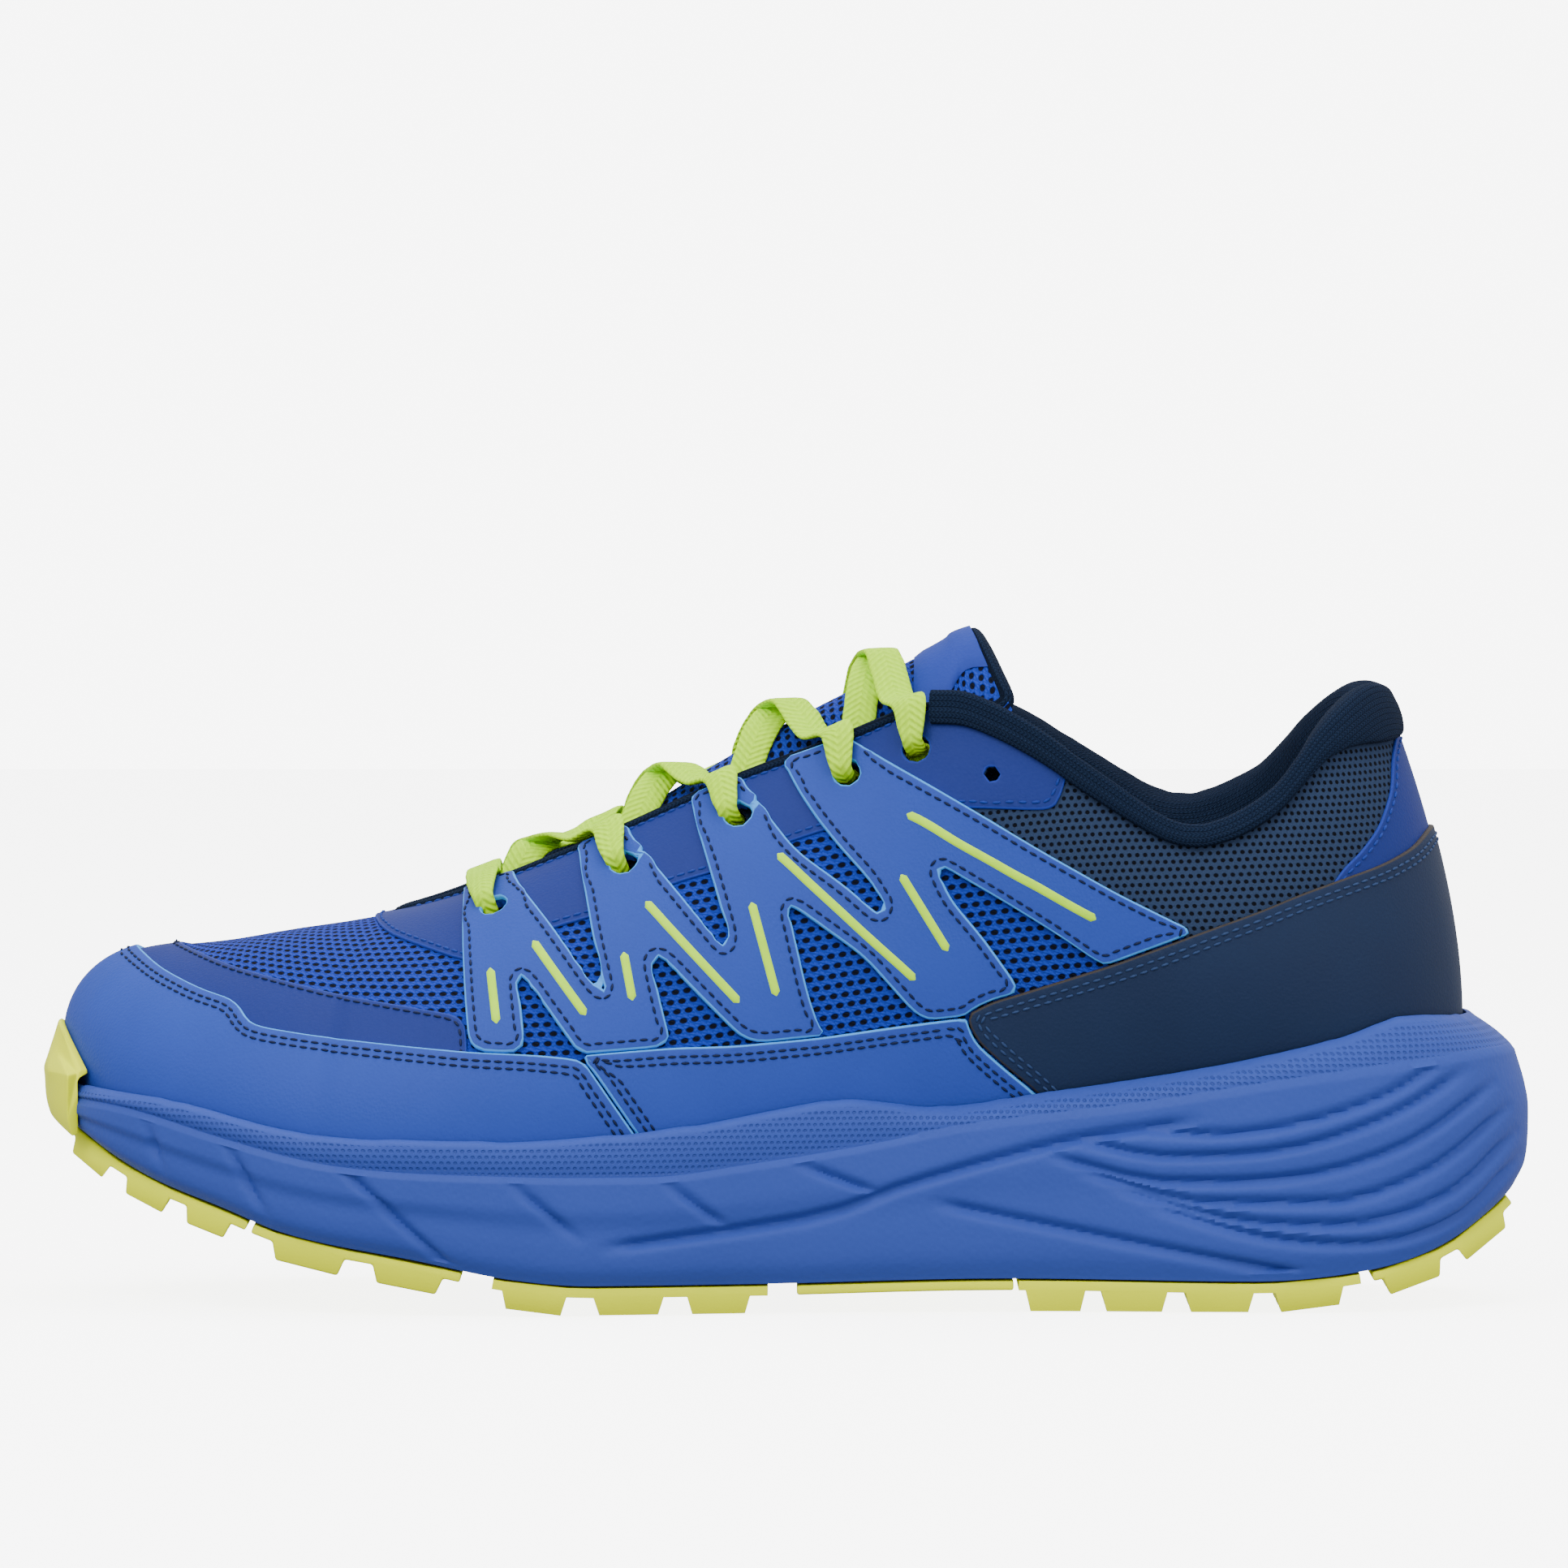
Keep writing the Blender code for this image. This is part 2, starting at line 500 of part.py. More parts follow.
foam_rings, lining_rings = [], []
for i in FOAM_COLUMNS:
    inner = collar_depth(i)
    outer = [skin.between(i, j, -1.65)[0] for j in (4.15, 5, 6, 6.85)]
    inside = [skin.between(i, j, -d)[0] for j, d in
              ((6.85, 2.4 + 0.3 * (inner - 4)), (6, inner - 1.2), (5, inner - 1.2),
               (4.15, 3.0 + 0.45 * (inner - 4)))]
    foam_rings.append(outer + inside)
for i in range(14, 35):
    inner, over = collar_depth(i), top_axis(i)
    i += {14: 0.06, 34: -0.06}.get(i, 0)
    top, n = skin.between(i, 7, 0)
    flap = 6.72 if not 21 <= i <= 27 else 6.72 - 0.32 * (3.5 - abs(i - 24))
    deep = [skin.between(i, flap, 2.1)[0], skin.between(i, 6.95, 2.2)[0],
            top + over * 2.3 + n * 1.6, top + over * 3.1 - n * 0.9,
            top + over * 1.6 - n * (1.6 + 0.5 * inner) * 0.8,
            skin.between(i, 6.5, -inner * 0.93)[0], skin.between(i, 5.6, -inner - 0.2)[0],
            skin.between(i, 4.6, -inner)[0], skin.between(i, 3.8, -inner * 0.6 - 2.4)[0],
            skin.between(i, 3.4, -4.9)[0]]
    near = [skin.between(i, flap, 1.2)[0], skin.between(i, 6.95, 1.3)[0],
            top + over * 1.3 + n * 1.2, top + over * 2.1 - n * 0.7,
            top + over * 1.1 - n * (1.0 + 0.45 * inner) * 0.8,
            skin.between(i, 6.42, -inner * 0.93 + 0.8)[0], skin.between(i, 5.6, -inner + 0.6)[0],
            skin.between(i, 4.65, -inner + 0.8)[0], skin.between(i, 3.8, -inner * 0.6 - 1.7)[0],
            skin.between(i, 3.4, -4.0)[0]]
    lining_rings.append(deep + near[::-1])
loft("collar_foam", foam_rings, foam_grey)
loft("collar_lining", lining_rings, lining_navy)

# ---------------------------------------------------------------- the sole

SOLE_COLUMNS = range(N)
eva_blue = paint("eva", (0.03, 0.1, 0.5), 0.7)
rubber_lime = paint("lime_rubber", (0.75, 0.85, 0.04), 0.55)


def bridge(mesh, ring, up):
    """Faces across the shoe from the lateral to the medial points of a ring, in fixed triangles."""
    half = N // 2
    for i in range(half):
        a, b, c, d = ring[i], ring[i + 1], ring[(N - i - 1) % N], ring[(N - i) % N]
        for three in ((a, b, c), (a, c, d)):
            if len(set(three)) == 3:
                mesh.faces.new(three if up else three[::-1])


def stack(name, rings, material):
    """Solid from rings of N points in mm, bottom first, bridged at both ends."""
    mesh = bmesh.new()
    rows = [[mesh.verts.new(np.asarray(p) * MM) for p in ring] for ring in rings]
    bridge(mesh, rows[0], False)
    bridge(mesh, rows[-1], True)
    for a, b in zip(rows, rows[1:]):
        for k in range(N):
            after = (k + 1) % N
            mesh.faces.new([a[k], a[after], b[after]])
            mesh.faces.new([a[k], b[after], b[k]])
    return solid(name, mesh, material)


def sole_point(i, inset, z=None):
    """Point of the sole's widest outline, moved in by inset."""
    w = skin.places[i % N]
    x, y = sole_outline(w)
    out = outward(sole_outline, w)
    return np.array([x - out[0] * inset, y - out[1] * inset, 0.0 if z is None else z])


def level(point, z):
    return np.array([point[0], point[1], z])


def mid_rings():
    """Rings of the midsole from its bottom edge, up its wall, over the lip and down the cup."""
    edge, low_wall, wall, ridge, lip, brim, inner, floor = [], [], [], [], [], [], [], []
    for i in SOLE_COLUMNS:
        w = skin.places[i]
        toe = max(0.0, 1 - min(w, LOOP - w) / 2.5)
        p = sole_point(i, 0)
        bite = skin.at((i, BITE_ROW), CUP_GAP)
        flare = skin.at((i, BITE_ROW), CUP_GAP + 2.0 - 1.0 * toe)
        up = ridge_z(p[0])
        low = bottom_z(sole_point(i, 2.4)[0])
        edge.append(sole_point(i, 2.6, low))
        low_wall.append(sole_point(i, 0.7, low + 0.12 * (up - low) + 0.6))
        wall.append(sole_point(i, 0, low + 0.5 * (up - low)))
        ridge.append(level(0.35 * flare + 0.65 * sole_point(i, 0), up))
        lip.append(level(flare, min(flare[2], bite[2]) - 0.8))
        brim.append(bite)
        inner.append(skin.at((i, 1), CUP_GAP))
        base = skin.at((i, 0), CUP_GAP)
        floor.append(level(base, skin.point[i, 0][2] - 0.45))
    return edge, low_wall, wall, ridge, lip, brim, inner, floor


stack("midsole", mid_rings(), eva_blue)


def board(inset, lift):
    """Ring inside the lining's inner face, lift above the footbed."""
    ring = []
    for i in range(N):
        for row in np.arange(0, 1.8, 0.02):
            p = skin.between(i, row, LINING[0] - inset)[0]
            if p[2] >= footbed_z(p[0]) + lift:
                break
        ring.append(level(p, footbed_z(p[0]) + lift))
    return ring


stack("strobel_board", [board(0.9, 0.0), board(0.9, 1.2)], paint("board", (0.75, 0.74, 0.7), 0.9))
stack("insole_foam", [board(1.5, 1.7), board(1.5, 5.4)], paint("insole_foam", (0.1, 0.1, 0.12), 0.8))
stack("insole_cover", [board(1.5, 5.8), board(1.5, 6.6)], paint("insole_cover", NAVY, 0.85))

# Pods of the outsole: (name, lug edges along x, mm). Lugs fill every other span.
PODS = [("outsole_toe", [-143.5, -141.5, -134, -130.5, -122, -118.5, -109.5, -106.5]),
        ("outsole_forefoot_front", [-105.4, -101.2, -87, -81.5, -67.5, -64.2]),
        ("outsole_forefoot_rear", [-58, -56, -43.5, -38.3, -24.5, -19.9, -7.5, -4]),
        ("outsole_heel", [45.6, 47, 58.8, 62, 75, 78.6, 92, 96.2, 109.5, 113]),
        ("outsole_heel_strike", [115.4, 117.4, 128.6, 132, 141.5, 143.5])]
COLUMNS = [0, 0.17, 0.23, 0.37, 0.43, 0.57, 0.63, 0.77, 0.83, 1]
PLATE_GAP = 0.5


def sole_sides(x, inset):
    """Lateral and medial y of the sole's outline at x."""
    found = []
    for span in (np.linspace(0.02, LAST_STATION - 0.02, 160),
                 LOOP - np.linspace(0.02, LAST_STATION - 0.02, 160)):
        points = []
        for w in span:
            p = sole_outline(w)
            out = outward(sole_outline, w)
            points.append((p[0] - out[0] * inset, p[1] - out[1] * inset))
        points.sort()
        xs, ys = zip(*points)
        found.append(float(np.interp(x, xs, ys)))
    return found


def pod(name, edges, lugs=True):
    """Plate under the midsole between the first and last edge, with lugs in every other span."""
    mesh = bmesh.new()
    top, under = [], []
    for x in edges:
        lateral, medial = sole_sides(x, 2.9)
        z = bottom_z(x) - PLATE_GAP
        slope = (bottom_z(x + 0.5) - bottom_z(x - 0.5))
        lean = np.array([slope, -1.0]) / math.hypot(slope, 1)
        row = [lateral + (medial - lateral) * c for c in COLUMNS]
        top.append([mesh.verts.new((x * MM, y * MM, z * MM)) for y in row])
        under.append([mesh.verts.new(((x + lean[0] * OUTSOLE_THICK) * MM, y * MM,
                                      (z + lean[1] * OUTSOLE_THICK) * MM)) for y in row])
    rows, columns = len(edges), len(COLUMNS)
    for a in range(rows - 1):
        for b in range(columns - 1):
            mesh.faces.new([top[a][b], top[a + 1][b], top[a + 1][b + 1], top[a][b + 1]])
            cell = [under[a][b], under[a][b + 1], under[a + 1][b + 1], under[a + 1][b]]
            lug = lugs and a % 2 == 1 and b % 2 == 0
            if not lug:
                mesh.faces.new(cell)
                continue
            middle = sum((v.co for v in cell), Vector()) / 4
            foot = []
            for v in cell:
                p = v.co.lerp(middle, 0.16)
                x = p.x / MM
                slope = (bottom_z(x + 0.5) - bottom_z(x - 0.5))
                drop = LUG_HEIGHT / math.hypot(slope, 1)
                z = bottom_z(x) - PLATE_GAP - OUTSOLE_THICK - drop
                foot.append(mesh.verts.new((p.x + slope * drop * 0.6 * MM, p.y,
                                            (0.0 if z < 1.2 else z) * MM)))
            mesh.faces.new(foot)
            for k in range(4):
                after = (k + 1) % 4
                mesh.faces.new([cell[k], cell[after], foot[after], foot[k]])
    for line in (0, rows - 1):
        for b in range(columns - 1):
            four = [top[line][b], top[line][b + 1], under[line][b + 1], under[line][b]]
            mesh.faces.new(four)
    for a in range(rows - 1):
        for b in (0, columns - 1):
            mesh.faces.new([top[a][b], top[a + 1][b], under[a + 1][b], under[a][b]])
    return solid(name, mesh, rubber_lime)


def bumper():
    """Rubber toe piece: it lies on the sole's wall and turns up over the toe cap."""
    rings = []
    for i, crest in ((-2, 2.35), (-1, 3.15), (0, 3.5), (1, 3.15), (2, 2.35)):
        lip = skin.at((i % N, BITE_ROW), CUP_GAP + 1.6)
        out = np.append(outward(sole_outline, skin.places[i % N]), 0)
        low = bottom_z(sole_point(i, 2.4)[0]) + 0.9
        mid = (2 + crest) / 2 + 0.1
        inner = [sole_point(i, -0.45, low), sole_point(i, -0.45, 41.5), level(lip + out * 0.7, 44.6),
                 skin.between(i, mid, 2.5)[0], skin.between(i, crest, 2.5)[0]]
        outer = [sole_point(i, -1.9, low - 0.5), sole_point(i, -3.0, low + 3),
                 sole_point(i, -2.9, 45.5), skin.between(i, mid, 4.9)[0],
                 skin.between(i, crest, 3.9)[0]]
        rings.append(inner + outer[::-1])
    loft("outsole_toe_bumper", rings, rubber_lime)


bumper()
for pod_name, pod_edges in PODS:
    pod(pod_name, pod_edges)
pod("outsole_arch_plate", [1.7, 12, 22, 33, 44.6], lugs=False)


# ---------------------------------------------------------------- the tongue

TONGUE_COLUMNS = 9        # points across, lateral to medial
TONGUE_TUCK = 6.4         # depth of its sides under the skin, mm
# Rows of the tongue: upper column, then how far its middle stands over the throat's edges.
TONGUE_ROWS = [(5, 0.6), (6, 2.5), (7, 4.4), (8, 6.2), (9, 7.6), (10, 8.8), (11, 10.0),
               (12, 11.2), (13, 12.4), (14, 13.6)]
TONGUE_TOP = [(34.0, 17.0, 132.6, 13.0), (38.0, 17.0, 134.2, 10.5)]


def tongue_sheet():
    points, half = {}, TONGUE_COLUMNS // 2
    for row, (i, crown) in enumerate(TONGUE_ROWS):
        low_row = {5: 6.35, 6: 6.1, 7: 5.9, 12: 6.0, 13: 6.3, 14: 6.65}.get(i, 5.75)
        edges = []
        for column in (i, N - i):
            side = [skin.between(column, r, -TONGUE_TUCK)[0]
                    for r in (low_row, (low_row + 7) / 2, 7)]
            edges.append(side)
        left, right = edges[0][2], edges[1][2]
        if i <= 6:
            left = left + (0, -2.5, -1.0)
            right = right + (0, 2.5, -1.0)
        centre = (left + right) / 2 + (0, 0, crown)
        quarter = [(side * 0.56 + centre * 0.44) + (0, 0, 0.30 * crown) for side in (left, right)]
        line = [edges[0][0], edges[0][1], left, quarter[0], centre, quarter[1], right,
                edges[1][1], edges[1][0]]
        for column, p in enumerate(line):
            points[row, column] = p
    for extra, (x, width, z, drop) in enumerate(TONGUE_TOP):
        for column in range(TONGUE_COLUMNS):
            share = (-1, -0.9, -0.76, -0.42, 0, 0.42, 0.76, 0.9, 1)[column]
            points[len(TONGUE_ROWS) + extra, column] = np.array(
                [x - 3.0 * share**2, 1.0 + width * share, z - drop * abs(share)**2.2])
    rows = len(TONGUE_ROWS) + len(TONGUE_TOP)
    cells = [(i, j) for i in range(rows - 1) for j in range(TONGUE_COLUMNS - 1)]
    return Sheet(points, cells, ((rows // 2, half), (0, 0, 1))), cells, rows


tongue, tongue_cells, tongue_rows = tongue_sheet()


def tongue_thickness(i, j):
    """Depth of the tongue's padding: thin at its sewn base and sides, full at the top."""
    full = Curve([0, 3, 7, 10, 11], [0.5, 2.6, 4.2, 5.6, 4.6])(i)
    shares = (1, 1, 0.6, 0.15, 0.02) if i >= 8 else (1, 1, 0.9, 0.6, 0.3)
    return full * shares[abs(j - TONGUE_COLUMNS // 2)]


thick("tongue_shell", tongue_cells, (-0.9, 0.0), mesh_blue, tongue)
padded_cells = [(i, j) for i, j in tongue_cells if 1 <= j <= 6 and (i < 8 or 2 <= j <= 5)]
thick("tongue_foam", padded_cells, (lambda i, j: -1.3 - tongue_thickness(i, j), -1.25), foam_grey,
      tongue)
thick("tongue_lining", tongue_cells, (lambda i, j: -2.35 - tongue_thickness(i, j),
                                      lambda i, j: -1.7 - tongue_thickness(i, j)),
      lining_navy, tongue)
thick("tongue_patch", [(i, j) for i in range(9, 11) for j in range(2, 6)], (0.45, 1.05), film_blue,
      tongue)
binding_rings = []
last = tongue_rows - 1
for j in range(TONGUE_COLUMNS):
    along_top = tongue.point[last, j] - tongue.point[last - 1, j]
    along_top /= np.linalg.norm(along_top)
    n, full = tongue.normal[last, j], tongue_thickness(last, j) + 2.4
    p = tongue.point[last, j] + along_top * 0.7
    binding_rings.append([p + n * 0.2, p - n * (full + 0.2), p - n * (full * 0.85) + along_top * 1.9,
                          p - n * (full * 0.5) + along_top * 2.9,
                          p - n * (full * 0.15) + along_top * 2.0])
loft("tongue_binding", binding_rings, lining_navy)


# ---------------------------------------------------------------- the lace

LACE_WIDTH, LACE_THICK = 6.2, 1.5
HOLE_WIDTH = 4.2          # the lace gathers to this in an eyelet
LACED = EYELETS[:5]
LACE_OUT, LACE_IN = 3.45, -4.95
lace_white = paint("lime_lace", LIME, 0.75)
X = np.array([1.0, 0, 0])


def tongue_height(x, y):
    """Height of the tongue's outer face at a plan position."""
    best = (1e9, 0.0)
    for i in range(len(TONGUE_ROWS) + 1):
        for j in range(TONGUE_COLUMNS - 1):
            for u in (0, 0.25, 0.5, 0.75, 1):
                for v in (0, 0.25, 0.5, 0.75):
                    i2 = min(i + 1, tongue_rows - 1)
                    p = ((1 - u) * (1 - v) * tongue.point[i, j] + u * (1 - v) * tongue.point[i2, j]
                         + (1 - u) * v * tongue.point[i, j + 1] + u * v * tongue.point[i2, j + 1])
                    best = min(best, ((p[0] - x)**2 + (p[1] - y)**2, p[2]))
    return best[1]


def eyelet_keys(index, side, after):
    """Keys of the lace over the throat's edge, down an eyelet and back under the edge."""
    x, z = LACED[index]
    i, j = skin.find(x, z, side)
    forward = 1 if side < 0 else -1
    edge, n = skin.between(i, 7, 0)
    hole, m = skin.between(i, j, 0)
    up = (edge - hole) / np.linalg.norm(edge - hole)
    ahead = skin.between(i + 0.2 * forward, 7, 0)[0] - edge
    ahead /= np.linalg.norm(ahead)
    keys = [(edge + n * LACE_OUT + up * 1.0, ahead, LACE_WIDTH),
            (hole + m * LACE_OUT + up * 3.2, ahead, LACE_WIDTH - 0.8),
            (hole + m * (LACE_OUT - 0.6) + up * 0.7, ahead, HOLE_WIDTH),
            (hole + m * 0.3 - up * 0.1, ahead, HOLE_WIDTH),
            (hole + m * (LACE_IN + 2.0), ahead, HOLE_WIDTH),
            (hole + m * LACE_IN + up * 1.6, ahead, HOLE_WIDTH)]
    if after:
        keys += [(hole + m * LACE_IN + up * 4.4 + ahead * 0.6, ahead, LACE_WIDTH - 1.0),
                 (edge + n * LACE_IN + up * 0.6 + ahead * 1.8, ahead, LACE_WIDTH - 0.6)]
    return keys


def crossing(start, end, lift, ahead):
    """Keys over the tongue from one throat edge to the other."""
    keys = []
    for share, rise in ((0.22, 0.45), (0.5, 1.0), (0.78, 0.75)):
        p = start * (1 - share) + end * share
        under = max(tongue_height(p[0] + dx, p[1] + dy) for dx in (-3, 3) for dy in (-2, 2))
        z = under + 1.7 + lift * rise
        z = max(z, p[2] + 0.5) if share > 0.6 else z
        keys.append((np.array([p[0], p[1], z]), ahead, LACE_WIDTH))
    return keys


def tail(side):
    """Keys from the last eyelet, down inside the shoe and forward along the insole's edge."""
    x, z = LACED[-1]
    i, j = skin.find(x, z, side)
    turn = -1 if side < 0 else 1
    keys = []
    for di, row, depth in ((-0.35, 5.9, -5.1), (-0.8, 5.4, -5.3), (-1.0, 4.8, -5.5),
                           (-1.15, 4.2, -5.7), (-1.5, 3.5, -5.8), (-2.2, 2.9, -5.8),
                           (-3.2, 2.6, -5.8), (-4.3, 2.5, -5.8), (-5.4, 2.5, -5.8),
                           (-6.3, 2.5, -6.4), (-7.0, 2.5, -7.6)):
        keys.append(skin.between(i - turn * di, row, depth))
    return keys


def strap(name, keys, material, thickness):
    """Flat strap through (point, width axis, width), its ends closed."""
    points = np.array([k[0] for k in keys])
    spans = np.linalg.norm(np.diff(points, axis=0), axis=1)
    at = np.concatenate([[0], np.cumsum(spans)])
    path = Curve(at, points)
    path.m = np.vstack([[points[1] - points[0]] / (at[1] - at[0]),
                        (points[2:] - points[:-2]) / (at[2:] - at[:-2])[:, None],
                        [points[-1] - points[-2]] / (at[-1] - at[-2])])
    stops = []
    for a, b, length in zip(at[:-1], at[1:], spans):
        count = max(1, round(length / 6.5))
        stops += [a + (b - a) * k / count for k in range(count)]
    stops.append(at[-1])
    axes = np.array([k[1] for k in keys])
    widths = np.array([k[2] for k in keys])
    rings = []
    for s in stops:
        p = path(s)
        tangent = path(min(s + 0.3, at[-1])) - path(max(s - 0.3, 0))
        tangent /= np.linalg.norm(tangent)
        side = np.array([np.interp(s, at, axes[:, k]) for k in range(3)])
        side -= tangent * (side @ tangent)
        side /= np.linalg.norm(side)
        flat = np.cross(tangent, side)
        half, t = np.interp(s, at, widths) / 2, thickness / 2
        rings.append([p + side * half * a + flat * t * b for a, b in
                      ((-1, -1), (-1, 1), (1, 1), (1, -1))])
    loft(name, rings, material)
    return at[-1]


def half_lace(side):
    """Keys from the bottom bar's middle to the tail on one side: (point, axis, width)."""
    keys, here = [], side
    for index in range(len(LACED)):
        last_one = index == len(LACED) - 1
        down = eyelet_keys(index, here, not last_one)
        ahead = down[0][1]
        if index:
            lift = 3.1 if here < 0 else 0.7
            lift += 1.2 if index == 4 else 0
            keys += crossing(keys[-1][0], down[0][0], lift, X)
        keys += down
        if not last_one:
            here = -here
    turned = tail(here)
    before = keys[-1]
    for k, (p, n) in enumerate(turned):
        q = turned[k - 1][0] if k else before[0]
        r = turned[k + 1][0] if k < len(turned) - 1 else p
        axis = np.cross(n, r - q)
        axis /= np.linalg.norm(axis)
        if axis @ keys[-1][1] < 0:
            axis = -axis
        keys.append((p, axis, LACE_WIDTH - 0.6))
    return keys, here


left_keys, left_end = half_lace(-1)
right_keys, right_end = half_lace(1)
bar_start, bar_end = left_keys[0][0], right_keys[0][0]
middle = (bar_start + bar_end) / 2
bar_z = tongue_height(middle[0], middle[1])
bar = [(np.array([middle[0], middle[1], max(middle[2] + 0.8, bar_z + 1.6)]), X, LACE_WIDTH)]
lace_keys = left_keys[::-1] + bar + right_keys
lace_length = strap("lace", lace_keys, lace_white, LACE_THICK)

for keys, end in ((left_keys, left_end), (right_keys, right_end)):
    tip, axis, width = keys[-1]
    direction = tip - keys[-2][0]
    direction /= np.linalg.norm(direction)
    flat = np.cross(direction, axis)
    flat /= np.linalg.norm(flat)
    rings = []
    for along_it, radius in ((0.4, 1.4), (1.2, 1.6), (18, 1.6), (19.5, 1.2)):
        rings.append([tip + direction * along_it + (axis * math.cos(a) + flat * math.sin(a)) * radius
                      for a in np.linspace(0, 2 * math.pi, 8, endpoint=False)])
    loft("aglet_lateral" if end < 0 else "aglet_medial", rings,
         paint("aglet", (0.7, 0.8, 0.2), 0.25))


# ---------------------------------------------------------------- origins on the joints

for names, hinge in ((("tongue_shell", "tongue_foam", "tongue_lining", "tongue_patch",
                       "tongue_binding"), TONGUE_HINGE),
                     (("insole_foam", "insole_cover"), INSOLE_HINGE)):
    for name in names:
        obj = bpy.data.objects[name]
        obj.data.transform(Matrix.Translation(-Vector(hinge) * MM))
        obj.location = Vector(hinge) * MM
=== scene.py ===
import math
import bmesh
import bpy
import numpy as np
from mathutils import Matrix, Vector
from mathutils.kdtree import KDTree


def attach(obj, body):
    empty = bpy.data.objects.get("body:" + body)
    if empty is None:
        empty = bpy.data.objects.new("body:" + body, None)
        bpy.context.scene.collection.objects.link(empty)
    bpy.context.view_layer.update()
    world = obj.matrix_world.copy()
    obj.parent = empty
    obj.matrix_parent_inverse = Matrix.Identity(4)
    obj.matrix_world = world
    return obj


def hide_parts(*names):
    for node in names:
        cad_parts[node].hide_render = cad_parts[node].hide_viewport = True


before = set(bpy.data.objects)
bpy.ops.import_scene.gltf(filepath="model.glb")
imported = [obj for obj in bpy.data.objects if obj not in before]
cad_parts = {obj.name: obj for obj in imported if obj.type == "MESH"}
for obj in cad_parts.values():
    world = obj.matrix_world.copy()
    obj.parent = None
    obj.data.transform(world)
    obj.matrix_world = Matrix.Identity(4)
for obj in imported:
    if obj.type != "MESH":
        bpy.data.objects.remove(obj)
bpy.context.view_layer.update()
mm = 0.001
# moves the sections so that the origin is under the middle of the shoe
centre = np.array([0.8, -0.71, 0.0])
print("frame loaded")

# The upper at 18 stations from the middle of the toe to the middle of the heel, mm.
upperShape = {
    "featherLateral": [(-135.5, 8), (-133.5, -5), (-127, -17), (-114, -27.5), (-97, -36), (-75, -41.5),
    (-52, -42), (-28, -39), (-6, -35),
                       (14, -31.5), (32, -29.5), (50, -28.5), (68, -28.5), (86, -29), (103, -28),
                       (119, -22), (129, -11), (131.5, 0)],
    "featherMedial": [(-135.5, 8), (-134, 19), (-128.5, 29), (-115.5, 36.5), (-98, 41), (-76, 42.5),
    (-53, 40.5), (-29, 35.5), (-6, 31),
                      (14, 28), (32, 26.5), (50, 26), (68, 26.5), (86, 27.5), (103, 27), (119, 21.5),
                      (129, 11), (131.5, 0)],
    # top line: x, middle y, half width, z, extra height of the medial side
    "topLine": [(-121, 7.8, 0, 69.8, 0), (-117, 7.8, 0, 70.4, 0), (-109, 7.4, 0, 71.2, 0),
    (-97, 6.8, 0, 73.4, 0), (-84, 6.2, 0, 75.6, 0),
                (-70, 5.5, 6, 79.0, 0), (-54, 3.5, 13, 85.0, 0), (-33, 2.8, 16.5, 94.0, 0),
                (-12, 2.2, 18, 103.6, 0), (10, 1.8, 19.5, 112.0, 0),
                (30, 1, 23, 119.5, 0), (46, 0.3, 27.8, 114.0, 1), (62, 0, 31, 103.0, 2.5),
                (79, 0, 33, 94.0, 3.5), (95, 0, 31, 99.5, 2.5),
                (106.5, 0, 24.5, 113.0, 0.5), (115, 0, 13, 120.0, 0), (119.5, 0, 0, 119.5, 0)],
    # bow and rise above the feather, reach and lift at the top line
    "fullness": [(14.5, 15, 26, 0.5), (15, 16, 24, 0.5), (16, 17, 24, 0.8), (16, 18, 27, 1.0),
    (16, 18, 30, 0.5), (15, 18, 28, -1),
                 (13, 19, 24, -4), (12, 21, 19, -9), (11, 23, 15, -14), (10.5, 25, 12, -20),
                 (10, 26, 9, -25), (10, 25, 7, -23),
                 (10.5, 23, 6, -20), (11, 22, 5.5, -17), (11, 23, 6, -19), (10, 26, 7, -22),
                 (8, 28, 8, -23), (6.5, 28, 8.5, -23)],
    "footbed": [(-141, 34), (-125, 29), (-105, 25.2), (-80, 22.5), (-55, 21.5), (-30, 22.5), (0, 26.5),
    (30, 31), (60, 34.5), (90, 36.5), (132, 37)],
    "biteLine": [(-145, 44.2), (-120, 41), (-93, 35.5), (-55, 34.4), (-22, 37), (13, 42.2), (27, 40.8),
    (54, 44.2), (81, 48.6), (109, 54.6), (121, 58), (134, 57)],
    "ridgeEnd": 4.4, "columns": 408, "rows": 66,
}
soleShape = {
    "lateral": [(-147, 8.5), (-144, -8), (-135, -23), (-119, -35), (-98, -45), (-75, -49.5), (-52, -50.5),
    (-28, -47.5), (-6, -43.5),
                (14, -40.5), (32, -39), (50, -39), (68, -40), (88, -41.5), (109, -40.5), (129, -33),
                (143.5, -17.5), (148.4, 0)],
    "medial": [(-147, 8.5), (-144.5, 24), (-136, 36), (-121, 45.5), (-99, 50), (-76, 50.5), (-53, 47.5),
    (-29, 42), (-6, 37), (14, 34.5),
               (32, 34), (50, 35), (68, 37), (88, 39), (109, 38.5), (129, 31.5), (143.5, 17), (148.4, 0)],
    "ridge": [(-147, 41), (-133, 40), (-112, 34.8), (-90, 29.9), (-55, 27.8), (-28, 27.5), (-8, 29.8),
    (16, 33.5), (32, 36.7), (70, 41.6),
              (92, 45), (114, 48), (142, 51)],
    "bottom": [(-150, 41), (-146.5, 38), (-138.5, 32.4), (-127, 26.2), (-111, 20.3), (-100.7, 16.4),
    (-72.8, 10.9), (-54.6, 7.3), (-38, 5.9),
               (-8, 5.9), (44, 6.6), (92, 6.2), (109, 7.4), (121, 9.6), (131, 13.3), (139, 18.2),
               (146.4, 24), (150, 28)],
    "columns": 860,
}
loopEnd = 34.0


